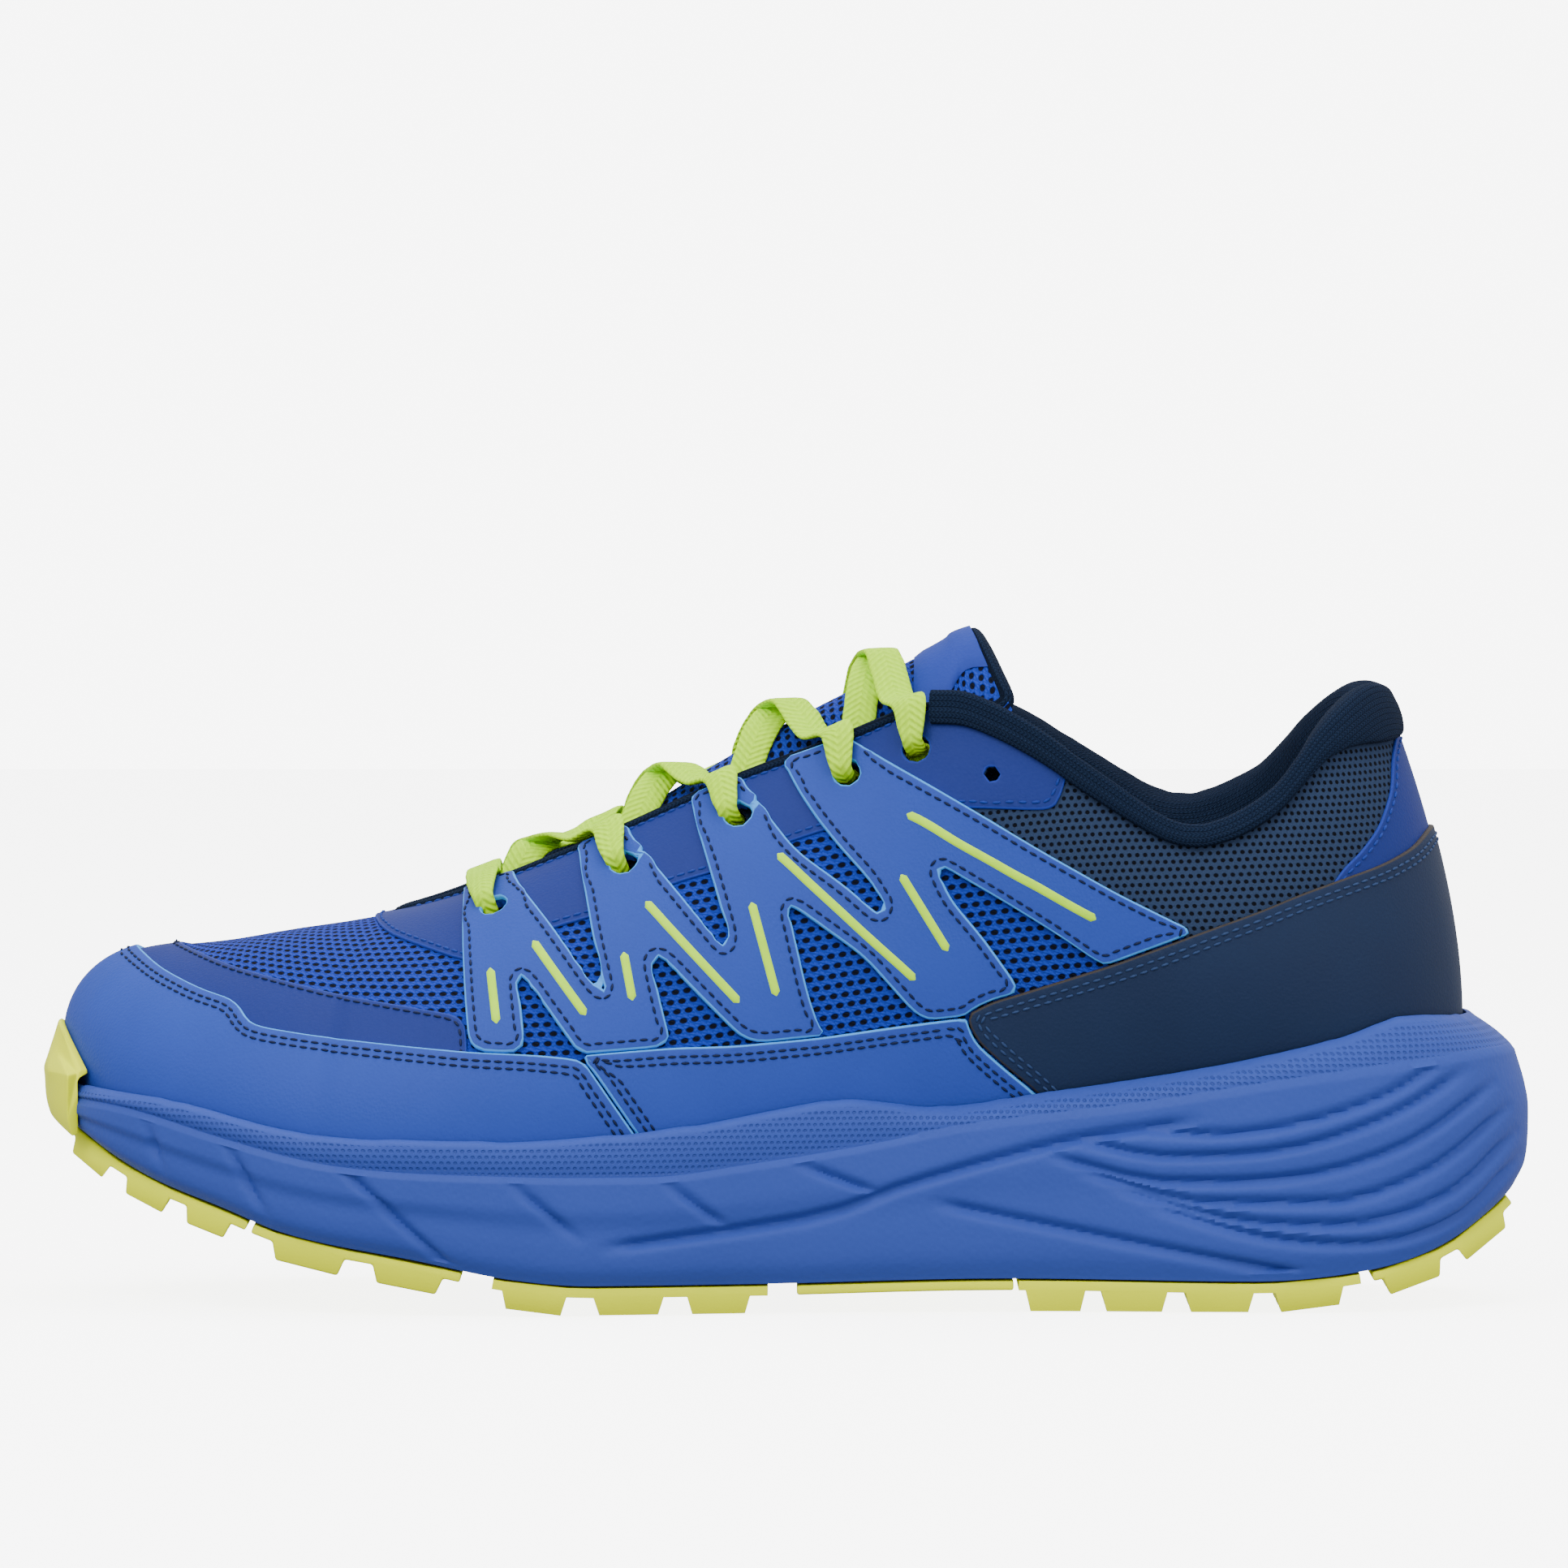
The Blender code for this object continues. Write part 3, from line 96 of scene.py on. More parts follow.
def unit(rows):
    return rows / np.maximum(np.linalg.norm(rows, axis=-1, keepdims=True), 1e-9)


class Curve:
    # cubic through keyed values without overshoot; closed joins its end to its start

    def __init__(self, places, values, closed=False):
        self.closed = closed
        self.x, self.y = np.asarray(places, float), np.asarray(values, float).reshape(len(places), -1)
        if closed:
            self.period = len(places)
            self.x = np.arange(-3, self.period + 4, dtype=float)
            self.y = self.y[self.x.astype(int) % self.period]
        slope = np.diff(self.y, axis=0) / np.diff(self.x)[:, None]
        self.m = np.vstack([slope[:1], (slope[:-1] + slope[1:]) / 2, slope[-1:]])
        if not closed:
            limit = 3 * np.minimum(abs(slope[:-1]), abs(slope[1:]))
            self.m[1:-1] = np.where(slope[:-1] * slope[1:] <= 0, 0, np.clip(self.m[1:-1], -limit, limit))

    def __call__(self, at):
        at = np.asarray(at, float)
        at = at % self.period if self.closed else np.clip(at, self.x[0], self.x[-1])
        i = np.minimum(np.searchsorted(self.x, at, side="right") - 1, len(self.x) - 2)
        h = self.x[i + 1] - self.x[i]
        u, h = ((at - self.x[i]) / h)[..., None], h[..., None]
        found = ((2 * u**3 - 3 * u**2 + 1) * self.y[i] + (u**3 - 2 * u**2 + u) * h * self.m[i]
                 + (3 * u**2 - 2 * u**3) * self.y[i + 1] + (u**3 - u**2) * h * self.m[i + 1])
        return found[..., 0] if found.shape[-1] == 1 else found


def lengthAlong(points):
    return np.concatenate([[0], np.cumsum(np.linalg.norm(np.diff(points, axis=0), axis=1))])


def along(keys):
    return Curve([k[0] for k in keys], [k[1] for k in keys])


def loopOf(lateral, medial):
    rows = list(lateral) + list(medial[-2:0:-1])
    return Curve(range(len(rows)), rows, closed=True)


footbedZ, biteZ = along(upperShape["footbed"]), along(upperShape["biteLine"])
ridgeZ, bottomZ = along(soleShape["ridge"]), along(soleShape["bottom"])
feather = loopOf(upperShape["featherLateral"], upperShape["featherMedial"])
soleOutline = loopOf(soleShape["lateral"], soleShape["medial"])
fullness = loopOf(upperShape["fullness"], upperShape["fullness"])
topCurve = loopOf([(x, mid - half, z) for x, mid, half, z, extra in upperShape["topLine"]],
                  [(x, mid + half, z + extra) for x, mid, half, z, extra in upperShape["topLine"]])


def fromToe(w):
    # how far a place on the loop is from the middle of the toe
    w = np.asarray(w, float) % loopEnd
    return np.minimum(w, loopEnd - w)


def topPoint(w):
    # the two sides share the ridge over the vamp, and part softly behind it
    own, both = topCurve(w), (topCurve(w) + topCurve(-np.asarray(w))) / 2
    return np.where((fromToe(w) <= upperShape["ridgeEnd"])[..., None], both, own)


def outward(curve, w):
    tangent = (curve(np.asarray(w) + 0.1) - curve(np.asarray(w) - 0.1))[..., :2]
    normal = unit(np.stack([tangent[..., 1], -tangent[..., 0]], -1))
    edge = curve(w)[..., :2]
    inner = np.stack([np.clip(edge[..., 0], -95, 100), np.full(edge.shape[:-1], 3.0)], -1)
    return normal * np.where(((edge - inner) * normal).sum(-1) > 0, 1, -1)[..., None]


def section(w, v):
    # points of the skin at loop places w and shares v from the footbed to the top line
    w, v = np.broadcast_arrays(np.asarray(w, float), np.asarray(v, float))
    foot, full, out = feather(w), fullness(w), outward(feather, w)
    a = np.concatenate([foot, footbedZ(foot[..., 0])[..., None]], -1)
    d = topPoint(w)
    b = a + np.concatenate([out * full[..., 0:1], full[..., 1:2]], -1)
    c = d + np.concatenate([out * full[..., 2:3], full[..., 3:4]], -1)
    v = v[..., None]
    return (1 - v)**3 * a + 3 * (1 - v)**2 * v * b + 3 * (1 - v) * v**2 * c + v**3 * d


class Skin:
    # fine grid of the upper's surface: points and normals by column and row

    def __init__(self):
        n, rows = upperShape["columns"], upperShape["rows"]
        self.n, self.rows = n, rows
        self.w = np.arange(n) * loopEnd / n
        self.v = np.linspace(0, 1, rows + 1)
        self.p = section(self.w[:, None], self.v[None, :]) + centre
        du = np.roll(self.p, -1, 0) - np.roll(self.p, 1, 0)
        dv = np.gradient(self.p, axis=1)
        normal = np.cross(du, dv)
        normal *= -1 if normal[n // 2, rows // 2, 0] < 0 else 1
        ridge = fromToe(self.w) <= upperShape["ridgeEnd"]
        mirror = (-np.arange(n)) % n
        normal = unit(normal)
        merged = normal[:, rows] + normal[mirror, rows]
        normal[ridge, rows] = merged[ridge]
        for _ in range(2):  # evens the normals where the throat opens
            normal[:, rows] += 0.5 * (np.roll(normal[:, rows], 1, 0) + np.roll(normal[:, rows], -1, 0))
            normal = unit(normal)
        self.normal = normal
        girth = np.linalg.norm(np.roll(self.p, -1, 0) - self.p, axis=2)[:, rows // 2]
        self.u = np.concatenate([[0], np.cumsum(girth)[:-1]])
        rise = np.linalg.norm(np.diff(self.p, axis=1), axis=2)
        self.h = np.concatenate([np.zeros((n, 1)), np.cumsum(rise, axis=1)], axis=1)
        # distance to the free top edge, far where the two sides join
        self.topGap = self.h[:, -1:] - self.h + 60 * np.clip(upperShape["ridgeEnd"] + 0.35
            - fromToe(self.w), 0, 1)[:, None]

    def at(self, w, v, depth=0.0):
        # point and normal at loop places w and shares v
        w, v = np.broadcast_arrays(np.asarray(w, float), np.asarray(v, float))
        i, j = (w % loopEnd) * self.n / loopEnd, np.clip(v, 0, 1) * self.rows
        i0, j0 = np.floor(i).astype(int), np.minimum(np.floor(j).astype(int), self.rows - 1)
        a, b = (i - i0)[..., None], (j - j0)[..., None]
        i0 %= self.n
        i1 = (i0 + 1) % self.n

        def mix(g):
            return (1 - a) * (1 - b) * g[i0, j0] + a * (1 - b) * g[i1, j0] + (1 - a) * b * g[i0,
                j0 + 1] + a * b * g[i1, j0 + 1]

        normal = unit(mix(self.normal))
        return mix(self.p) + normal * np.asarray(depth)[..., None], normal

    def find(self, x, z, side):
        # loop place and share of the point at x, z of one side, -1 lateral or 1 medial
        half = self.n // 2
        columns = np.arange(4, half - 2) if side < 0 else np.arange(half + 3, self.n - 3)
        miss = (self.p[columns, :, 0] - x)**2 + (self.p[columns, :, 2] - z)**2
        miss[:, : self.rows // 6] += 1e4
        k = np.unravel_index(np.argmin(miss), miss.shape)
        w, v, step = self.w[columns[k[0]]], self.v[k[1]], 0.5 / self.rows
        for _ in range(24):
            trial = [(w + a * step * 8, min(max(v + b * step, 0), 1)) for a in (-1, 0, 1)
                for b in (-1, 0, 1)]
            points = [self.at(*t)[0] for t in trial]
            best = min(range(9), key=lambda q: (points[q][0] - x)**2 + (points[q][2] - z)**2)
            w, v = trial[best]
            step *= 0.7
        return w, v


skin = Skin()
print("skin", skin.p.shape)


class Value:
    # a shader socket that can be written in sums

    def __init__(self, shader, socket):
        self.shader, self.socket = shader, socket

    def math(self, operation, *others, reverse=False):
        order = (*others, self) if reverse else (self, *others)
        return self.shader.add("ShaderNodeMath", {"operation": operation}, dict(enumerate(order)))

    def __add__(self, other): return self.math("ADD", other)
    def __sub__(self, other): return self.math("SUBTRACT", other)
    def __rsub__(self, other): return self.math("SUBTRACT", other, reverse=True)
    def __mul__(self, other): return self.math("MULTIPLY", other)
    def __truediv__(self, other): return self.math("DIVIDE", other)
    __radd__, __rmul__ = __add__, __mul__

    def wave(self): return self.math("SINE")
    def size(self): return self.math("ABSOLUTE")
    def part(self): return self.math("FRACT")
    def whole(self): return self.math("FLOOR")
    def power(self, other): return self.math("POWER", other)

    def step(self, low, high):
        # 0 at low to 1 at high, or the other way where high is the smaller
        turn = low > high
        return self.shader.add("ShaderNodeMapRange", {"interpolation_type": "SMOOTHSTEP"}, {
            0: self, 1: min(low, high), 2: max(low, high), 3: 1.0 if turn else 0.0, 4: 0.0 if turn
            else 1.0})


class Shader:
    # one material's nodes

    def __init__(self, name, colour=None, roughness=0.6, shine=0.2, **sockets):
        self.material = bpy.data.materials.new(name)
        self.material.use_nodes = True
        self.tree = self.material.node_tree
        self.surface = self.tree.nodes["Principled BSDF"]
        self.surface.inputs["Roughness"].default_value = roughness
        self.surface.inputs["Specular IOR Level"].default_value = shine
        if colour:
            self.surface.inputs["Base Color"].default_value = (*colour, 1)
            self.material.diffuse_color = (*colour, 1)
        for socket, value in sockets.items():
            self.surface.inputs[socket.replace("_", " ")].default_value = value

    def add(self, kind, settings, sockets, output=0):
        node = self.tree.nodes.new(kind)
        for key, value in settings.items():
            setattr(node, key, value)
        for key, value in sockets.items():
            if isinstance(value, Value):
                self.tree.links.new(value.socket, node.inputs[key])
            elif isinstance(value, tuple):
                node.inputs[key].default_value = (*value, 1)
            else:
                node.inputs[key].default_value = value
        return Value(self, node.outputs[output])

    def place(self):
        return self.add("ShaderNodeTexCoord", {}, {}, "Object")

    def uv(self):
        # the piece's own map in millimetres
        return self.add("ShaderNodeUVMap", {"uv_map": "skinMap"}, {})

    def split(self, vector):
        node = self.add("ShaderNodeSeparateXYZ", {}, {0: vector}).socket.node
        return [Value(self, node.outputs[k]) for k in range(3)]

    def noise(self, vector, scale, detail=2.0, roughness=0.5):
        sockets = {"Vector": vector, "Scale": scale, "Detail": detail, "Roughness": roughness}
        return self.add("ShaderNodeTexNoise", {}, sockets, "Fac")

    def cells(self, vector, scale):
        return self.add("ShaderNodeTexVoronoi", {}, {"Vector": vector, "Scale": scale}, "Distance")

    def blend(self, share, first, second):
        return self.add("ShaderNodeMix", {"data_type": "RGBA"}, {0: share, 6: first, 7: second}, 2)

    def staggered(self, wide, tall):
        # place inside one hole of a mesh with staggered rows, from -0.5 to 0.5 both ways
        u, v, _ = self.split(self.uv())
        row = v / tall
        return (u / wide + row.whole() * 0.5).part() - 0.5, row.part() - 0.5

    def read(self, name):
        return self.add("ShaderNodeAttribute", {"attribute_name": name}, {}, "Fac")

    def out(self, socket, value):
        self.tree.links.new(value.socket, self.surface.inputs[socket])
        return self

    def bump(self, height, distance, strength=1.0):
        node = self.add("ShaderNodeBump", {},
            {"Strength": strength, "Distance": distance, "Height": height})
        return self.out("Normal", node)


def placed(name, data):
    piece = bpy.data.objects.new(name, data)
    bpy.context.scene.collection.objects.link(piece)
    return piece


def finished(piece):
    # mesh with the modifiers applied
    return bpy.data.meshes.new_from_object(piece.evaluated_get(bpy.context.evaluated_depsgraph_get()))


def meshObject(name, points, faces, material, body="shoe"):
    # object from points in mm
    data = bpy.data.meshes.new(name)
    data.from_pydata([tuple(p) for p in np.asarray(points, float) * mm], [], faces)
    data.update()
    data.shade_smooth()
    if material:
        data.materials.append(material)
    piece = placed(name, data)
    if body:
        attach(piece, body)
    return piece


def tubeFaces(count, around):
    # faces over rings of points, with both ends closed
    faces = []
    for i in range(0, (count - 1) * around, around):
        for j in range(around):
            k = (j + 1) % around
            faces.append((i + j, i + k, i + around + k, i + around + j))
    return faces + [tuple(range(around))[::-1], tuple((count - 1) * around + j for j in range(around))]


def shellFaces(rows, columns):
    # faces over a front grid, the same grid behind it, and the rim between them
    count = rows * columns
    quads = []
    for i in range(rows - 1):
        for j in range(columns - 1):
            k = i * columns + j
            quads.append((k, k + 1, k + columns + 1, k + columns))
    index = np.arange(count).reshape(rows, columns)
    rim = np.concatenate([index[0], index[1:, -1], index[-1, -2::-1], index[-2:0:-1, 0]]).tolist()
    walls = [(b, a, a + count, b + count) for a, b in zip(rim, rim[1:] + rim[:1])]
    return quads + [tuple(q + count for q in f[::-1]) for f in quads] + walls


def attribute(piece, name, values):
    piece.data.attributes.new(name, "FLOAT", "POINT").data.foreach_set("value",
        np.asarray(values, np.float32))


def mapUv(piece, uv):
    # per point map, in mm
    layer = piece.data.uv_layers.new(name="skinMap")
    index = np.empty(len(piece.data.loops), np.int32)
    piece.data.loops.foreach_get("vertex_index", index)
    layer.data.foreach_set("uv", np.asarray(uv, np.float32)[index].ravel())


# signed distances in the side view, positive inside, mm
def insidePolygon(x, z, outline):
    a = np.asarray(outline, float)
    b = np.roll(a, -1, axis=0)
    p = np.stack([x, z], -1)[..., None, :]
    d = b - a
    t = np.clip(((p - a) * d).sum(-1) / (d * d).sum(-1), 0, 1)
    far = np.sqrt((((p - a) - t[..., None] * d)**2).sum(-1)).min(-1)
    over = (a[:, 1] > p[..., 1]) != (b[:, 1] > p[..., 1])
    cross = a[:, 0] + (p[..., 1] - a[:, 1]) * d[:, 0] / np.where(d[:, 1] == 0, 1e-9, d[:, 1])
    inside = (over & (p[..., 0] < cross)).sum(-1) % 2 == 1
    return np.where(inside, far, -far)


def nearLine(x, z, points):
    # distance to an open line of points
    a, b = points[:-1], points[1:]
    p = np.stack([x, z], -1)[..., None, :]
    d = b - a
    t = np.clip(((p - a) * d).sum(-1) / (d * d).sum(-1), 0, 1)
    return np.sqrt((((p - a) - t[..., None] * d)**2).sum(-1)).min(-1)


def rounded(outline, amount=0.18, turns=2):
    # cuts an outline's corners
    a = np.asarray(outline, float)
    for _ in range(turns):
        b = np.roll(a, -1, axis=0)
        length = np.linalg.norm(b - a, axis=1, keepdims=True)
        cut = np.minimum(amount, 2.0 / np.maximum(length, 0.01))
        a = np.stack([a + (b - a) * cut, b - (b - a) * cut], 1).reshape(-1, 2)
    return a


def splitAt(table, faces, level, column):
    # cuts faces along the line where a column of the table equals level; keeps both sides
    rows, made, parts = [table], {}, []
    values = table[:, column].copy()
    near = abs(values - level) < 0.02
    values[near] = level + 0.02
    count = len(table)
    extra = []

    def between(a, b):
        nonlocal count
        key = (a, b) if a < b else (b, a)
        if key not in made:
            t = (level - values[key[0]]) / (values[key[1]] - values[key[0]])
            extra.append(table[key[0]] * (1 - t) + table[key[1]] * t)
            made[key] = count
            count += 1
        return made[key]

    for face in faces:
        above = [values[k] > level for k in face]
        if all(above) or not any(above):
            parts.append(face)
            continue
        high, low = [], []
        for k, a in enumerate(face):
            b = face[(k + 1) % len(face)]
            (high if above[k] else low).append(a)
            if above[k] != above[(k + 1) % len(face)]:
                cut = between(a, b)
                high.append(cut)
                low.append(cut)
        parts += [part for part in (tuple(high), tuple(low)) if len(part) > 2]
    if extra:
        rows.append(np.array(extra))
    table = np.vstack(rows)
    cut = np.array(sorted(made.values()), int)
    table[cut, column] = level
    return table, parts, set(made.values())


def chains(faces, members, table, column, level):
    # the cut line as lists of points, from the edges that lie on it
    links = {}
    for face in faces:
        if table[list(face), column].mean() < level:
            continue
        for a, b in zip(face, face[1:] + face[:1]):
            if a in members and b in members:
                links.setdefault(a, []).append(b)
    starts = set(links) - {b for ends in links.values() for b in ends}
    lines, used = [], set()
    for start in list(starts) + list(links):
        if start in used or start not in links:
            continue
        line, here = [start], start
        used.add(start)
        while here in links:
            ahead = [b for b in links[here] if b not in used]
            if not ahead:
                if links[here][0] == start and len(line) > 2:
                    line.append(start)
                break
            here = ahead[0]
            used.add(here)
            line.append(here)
        if len(line) > 3:
            lines.append(line)
    return lines


stitchLines = []  # points and thread of each line, gathered from the panels


def panel(name, signed, material, depths, edge=0.4, stitches=(), thread="navy"):
    # closed piece where signed, in mm, is above 0 on the skin, between two depths, with a rounded rim
    n, rows = skin.n, skin.rows
    x, z = skin.p[..., 0], skin.p[..., 2]
    field = np.minimum(signed(x, z, skin.p[..., 1]), skin.topGap + 0.01)
    gu = np.roll(skin.p, -1, 0) - np.roll(skin.p, 1, 0)
    gv = np.gradient(skin.p, axis=1) * 2
    fu = np.roll(field, -1, 0) - np.roll(field, 1, 0)
    fv = np.gradient(field, axis=1) * 2
    lengths = [np.maximum(np.linalg.norm(g, axis=2), 0.2) for g in (gu, gv)]
    slope = np.hypot(fu / lengths[0], fv / lengths[1])
    field = field / np.clip(slope, 0.35, 1.3)
    flat = np.stack([np.broadcast_to(skin.u[:, None], x.shape), skin.h], -1)
    # columns of the table: point 0 to 2, normal 3 to 5, map 6 and 7, distance from the edge 8
    table = np.hstack([part.reshape(n * (rows + 1), -1) for part in (skin.p, skin.normal, flat, field)])
    index = np.arange(n * (rows + 1)).reshape(n, rows + 1)
    mirror = (-np.arange(n)) % n
    join = (fromToe(skin.w) <= upperShape["ridgeEnd"]) & (np.arange(n) > mirror)
    index[join, rows] = index[mirror[join], rows]
    most = np.maximum(field, np.roll(field, -1, 0))
    keep = (most[:, :-1] > -0.01) | (most[:, 1:] > -0.01)
    faces = []
    for i, j in zip(*np.nonzero(keep)):
        k = (i + 1) % n
        corners = (index[i, j], index[k, j], index[k, j + 1], index[i, j + 1])
        face = tuple(dict.fromkeys(int(c) for c in corners))
        if len(face) > 2:
            faces.append(face)
    table, faces, _ = splitAt(table, faces, 0.0, 8)
    faces = [f for f in faces if table[list(f), 8].mean() > 0]
    for level in (edge * 0.3, edge):
        table, faces, _ = splitAt(table, faces, level, 8)
    for level in stitches:
        table, faces, members = splitAt(table, faces, level, 8)
        for line in chains(faces, members, table, 8, level):
            stitchLines.append((table[line, :3] + table[line, 3:6] * (depths[1] + 0.05), thread))
    s = np.clip(table[:, 8] / edge, 0, 1)
    drop = np.minimum(edge, depths[1] - depths[0] - 0.05) * (1 - np.sqrt(np.clip(1 - (1 - s)**2, 0, 1)))
    outer = table[:, :3] + table[:, 3:6] * (depths[1] - drop)[:, None]
    inner = table[:, :3] + table[:, 3:6] * depths[0]
    count = len(table)
    edges = {}
    for f in faces:
        for a, b in zip(f, f[1:] + f[:1]):
            if (b, a) in edges:
                del edges[b, a]
            else:
                edges[a, b] = True
    backs = [tuple(k + count for k in reversed(f)) for f in faces]
    solid = faces + backs + [(b, a, a + count, b + count) for a, b in edges]
    points = np.vstack([outer, inner])
    used = np.unique(np.concatenate([np.array(f) for f in solid]))
    remap = -np.ones(len(points), int)
    remap[used] = np.arange(len(used))
    solid = [tuple(int(remap[k]) for k in f) for f in solid]
    points = points[used]
    piece = meshObject(name, points, solid, material)
    a, b, c = (points[[f[k] for f in solid[: len(faces)]]] for k in range(3))
    if (np.cross(b - a, c - a) * table[[f[0] for f in faces], 3:6]).sum() < 0:
        piece.data.flip_normals()
    mapUv(piece, np.vstack([table, table])[used, 6:8])
    attribute(piece, "rim", np.concatenate([table[:, 8], np.zeros(count)])[used])
    piece.data.set_sharp_from_angle(angle=math.radians(50))
    return piece


eyeletSizes = {"places": [(-58, 78.6), (-32.3, 87.4), (-9.7, 97.2), (12, 105.6), (25.5, 110.8)],
    "spare": (40.4, 106), "hole": 2.75, "spareHole": 1.5}
eyelets = [[skin.find(x + centre[0], z, side) for side in (-1, 1)] for x, z in eyeletSizes["places"]]
spares = [skin.find(eyeletSizes["spare"][0] + centre[0], eyeletSizes["spare"][1], side) for side in (-1, 1)]


holes = [(p, eyeletSizes["hole"]) for pair in eyelets for p in pair] + [(p, eyeletSizes["spareHole"])
    for p in spares]


def outline(points, turns=2, pierced=False):
    smooth = rounded(points, turns=turns)

    def signed(x, z, y):
        field = insidePolygon(x - centre[0], z, smooth)
        if pierced:
            for place, radius in holes:
                c = skin.at(*place)[0]
                field = np.minimum(field, np.sqrt((x - c[0])**2 + (y - c[1])**2 + (z - c[2])**2) - radius)
        return field

    return signed


def fabricMesh():
    # zigzag yarns with painted highlights over holes painted near-black, partly the dark lining behind them
    # and partly painted shade, in the skin's own map
    s = Shader("royalMesh", (0.006, 0.03, 0.30), 0.75, 0.12)
    a, b = s.staggered(2.35, 2.0)
    hole = (a * a * 1.3 + b * b * 1.9).power(0.5).step(0.46, 0.29)
    yarn = s.noise(s.uv(), 2.2, 3.0)
    fibreAndHighlight = (a * 9.0 + b * 16.0).wave() * 0.5 + 0.5
    bright = s.blend(yarn, (0.004, 0.014, 0.19), (0.010, 0.034, 0.38))
    # painted highlight: the yarn colour is lightened along the strand stripes
    bright = s.blend(fibreAndHighlight * 0.35, bright, (0.025, 0.07, 0.55))
    # the holes are painted near-black: partly the dark lining behind them, partly painted shade inside them
    s.out("Base Color", s.blend(hole, bright, (0.001, 0.002, 0.008)))
    s.out("Roughness", hole * 0.15 + 0.7)
    s.bump((1.0 - hole) + fibreAndHighlight * 0.25, 0.0006, 0.8)
    return s.material


def fabricSpacer():
    # soft navy mesh with small round holes in staggered rows; the holes are painted near-black as shade
    s = Shader("navyMesh", (0.004, 0.01, 0.035), 0.85, 0.1)
    a, b = s.staggered(1.7, 1.5)
    hole = (a * a + b * b).power(0.5).step(0.34, 0.2)
    yarn = s.noise(s.uv(), 3.0, 3.0)
    weave = s.blend(yarn, (0.013, 0.024, 0.058), (0.030, 0.052, 0.11))
    # painted shade: the holes are coloured near-black
    s.out("Base Color", s.blend(hole, weave, (0.0012, 0.002, 0.005)))
    s.bump((1.0 - hole) + yarn * 0.3, 0.0005, 0.7)
    return s.material


def suede(name, colour, light, dark, rimColour=None):
    # matte coated microfibre with a fine grain, and a cut edge of its own colour
    s = Shader(name, colour, 0.62)
    place = s.place()
    grain = s.cells(place, 1500.0)
    cloud = s.noise(place, 60.0, 4.0)
    base = s.blend(cloud, dark, light)
    if rimColour:
        rim = s.read("rim").step(0.5, 0.28)
        base = s.blend(rim, base, rimColour)
    s.out("Base Color", base)
    s.out("Roughness", cloud * 0.12 + 0.55)
    s.bump(grain * 0.6 + s.noise(place, 2600.0, 3.0) * 0.5, 0.00012, 0.55)
    return s.material


royalMesh, spacerMesh = fabricMesh(), fabricSpacer()
blueSuede = suede("blueSuede", (0.018, 0.052, 0.33), (0.021, 0.058, 0.36), (0.015, 0.046, 0.30),
    (0.05, 0.30, 0.80))
navySuede = suede("navySuede", (0.005, 0.016, 0.054), (0.0065, 0.019, 0.06), (0.0045, 0.014, 0.047),
    (0.035, 0.028, 0.025))
filmBlue = suede("filmBlue", (0.006, 0.018, 0.16), (0.007, 0.021, 0.18), (0.005, 0.016, 0.145),
    (0.010, 0.032, 0.27))
print("materials")

vampSide = [(-160, -10), (-160, 150), (-10, 150), (11.8, 112.7), (83.3, 71.2), (112, 30), (112, -10)]
collarSide = [(112, -10), (112, 30), (83.3, 71.2), (11.8, 112.7), (-9.5, 150), (160, 150), (160, -10)]
toeCapLine = [(-160, 72), (-135.2, 71.6), (-132.9, 70.6), (-125, 65.4), (-116.8, 62.1), (-109.2, 60),
    (-105.9, 55.6), (-92.6, 53.8), (-76.3, 52.4),
              (-62.8, 51.4), (-51.3, 51.1), (-40.6, 50.2), (-38.3, 47), (-30.5, 35.9), (-20, 21),
              (-20, -10), (-160, -10)]
foxingLine = [(-19.7, -10), (-19.7, 21.1), (-30.2, 36.1), (-38.0, 47.2), (-40.5, 50.4), (-39.4, 51.1),
    (-23.2, 52.4), (-11, 52.7), (6.7, 54.3),
              (21.4, 56.4), (35.4, 58.2), (35.7, 56.1), (37.5, 52.8), (43, 48), (48.4, 43.7), (56, 36),
              (58, 30), (58, -10)]
heelWrapLine = [(58.3, -10), (58.3, 30.2), (56.3, 36.3), (48.7, 44.0), (43.3, 48.3), (37.8, 53.1),
    (35.9, 56.3), (35.5, 58.8), (37.2, 59.7),
                (40.4, 61.3), (45.8, 62.9), (64.6, 68.9), (80.7, 74.8), (92.4, 78.9), (100.7, 82.3),
                (109, 85.2), (117.2, 87.8),
                (123.5, 90.7), (128, 95.0), (160, 97), (160, -10)]
toeFilmLine = [(-170, 74), (-131, 73), (-110, 66.6), (-90, 62.2), (-63.4, 58.4), (-63.0, 46), (-100, 47),
    (-128, 52), (-170, 56)]
eyestayLine = [(-84.5, 77.5), (-80, 73.5), (-63, 68.5), (-46.7, 75.4), (-38.3, 77.7), (-22.4, 84.2),
    (-13.9, 86.7), (2, 93), (20, 98.5), (36, 99.3),
               (52.4, 98.9), (54.4, 102.9), (56, 110), (40, 138), (20, 138), (-20, 122), (-60, 102),
               (-84.5, 90)]
heelPatchLine = [(121.4, 113.6), (120.2, 108.8), (119.8, 102.1), (117.2, 95.4), (113.4, 90.6),
    (109.5, 87.2), (104, 79), (160, 79), (160, 113.6)]
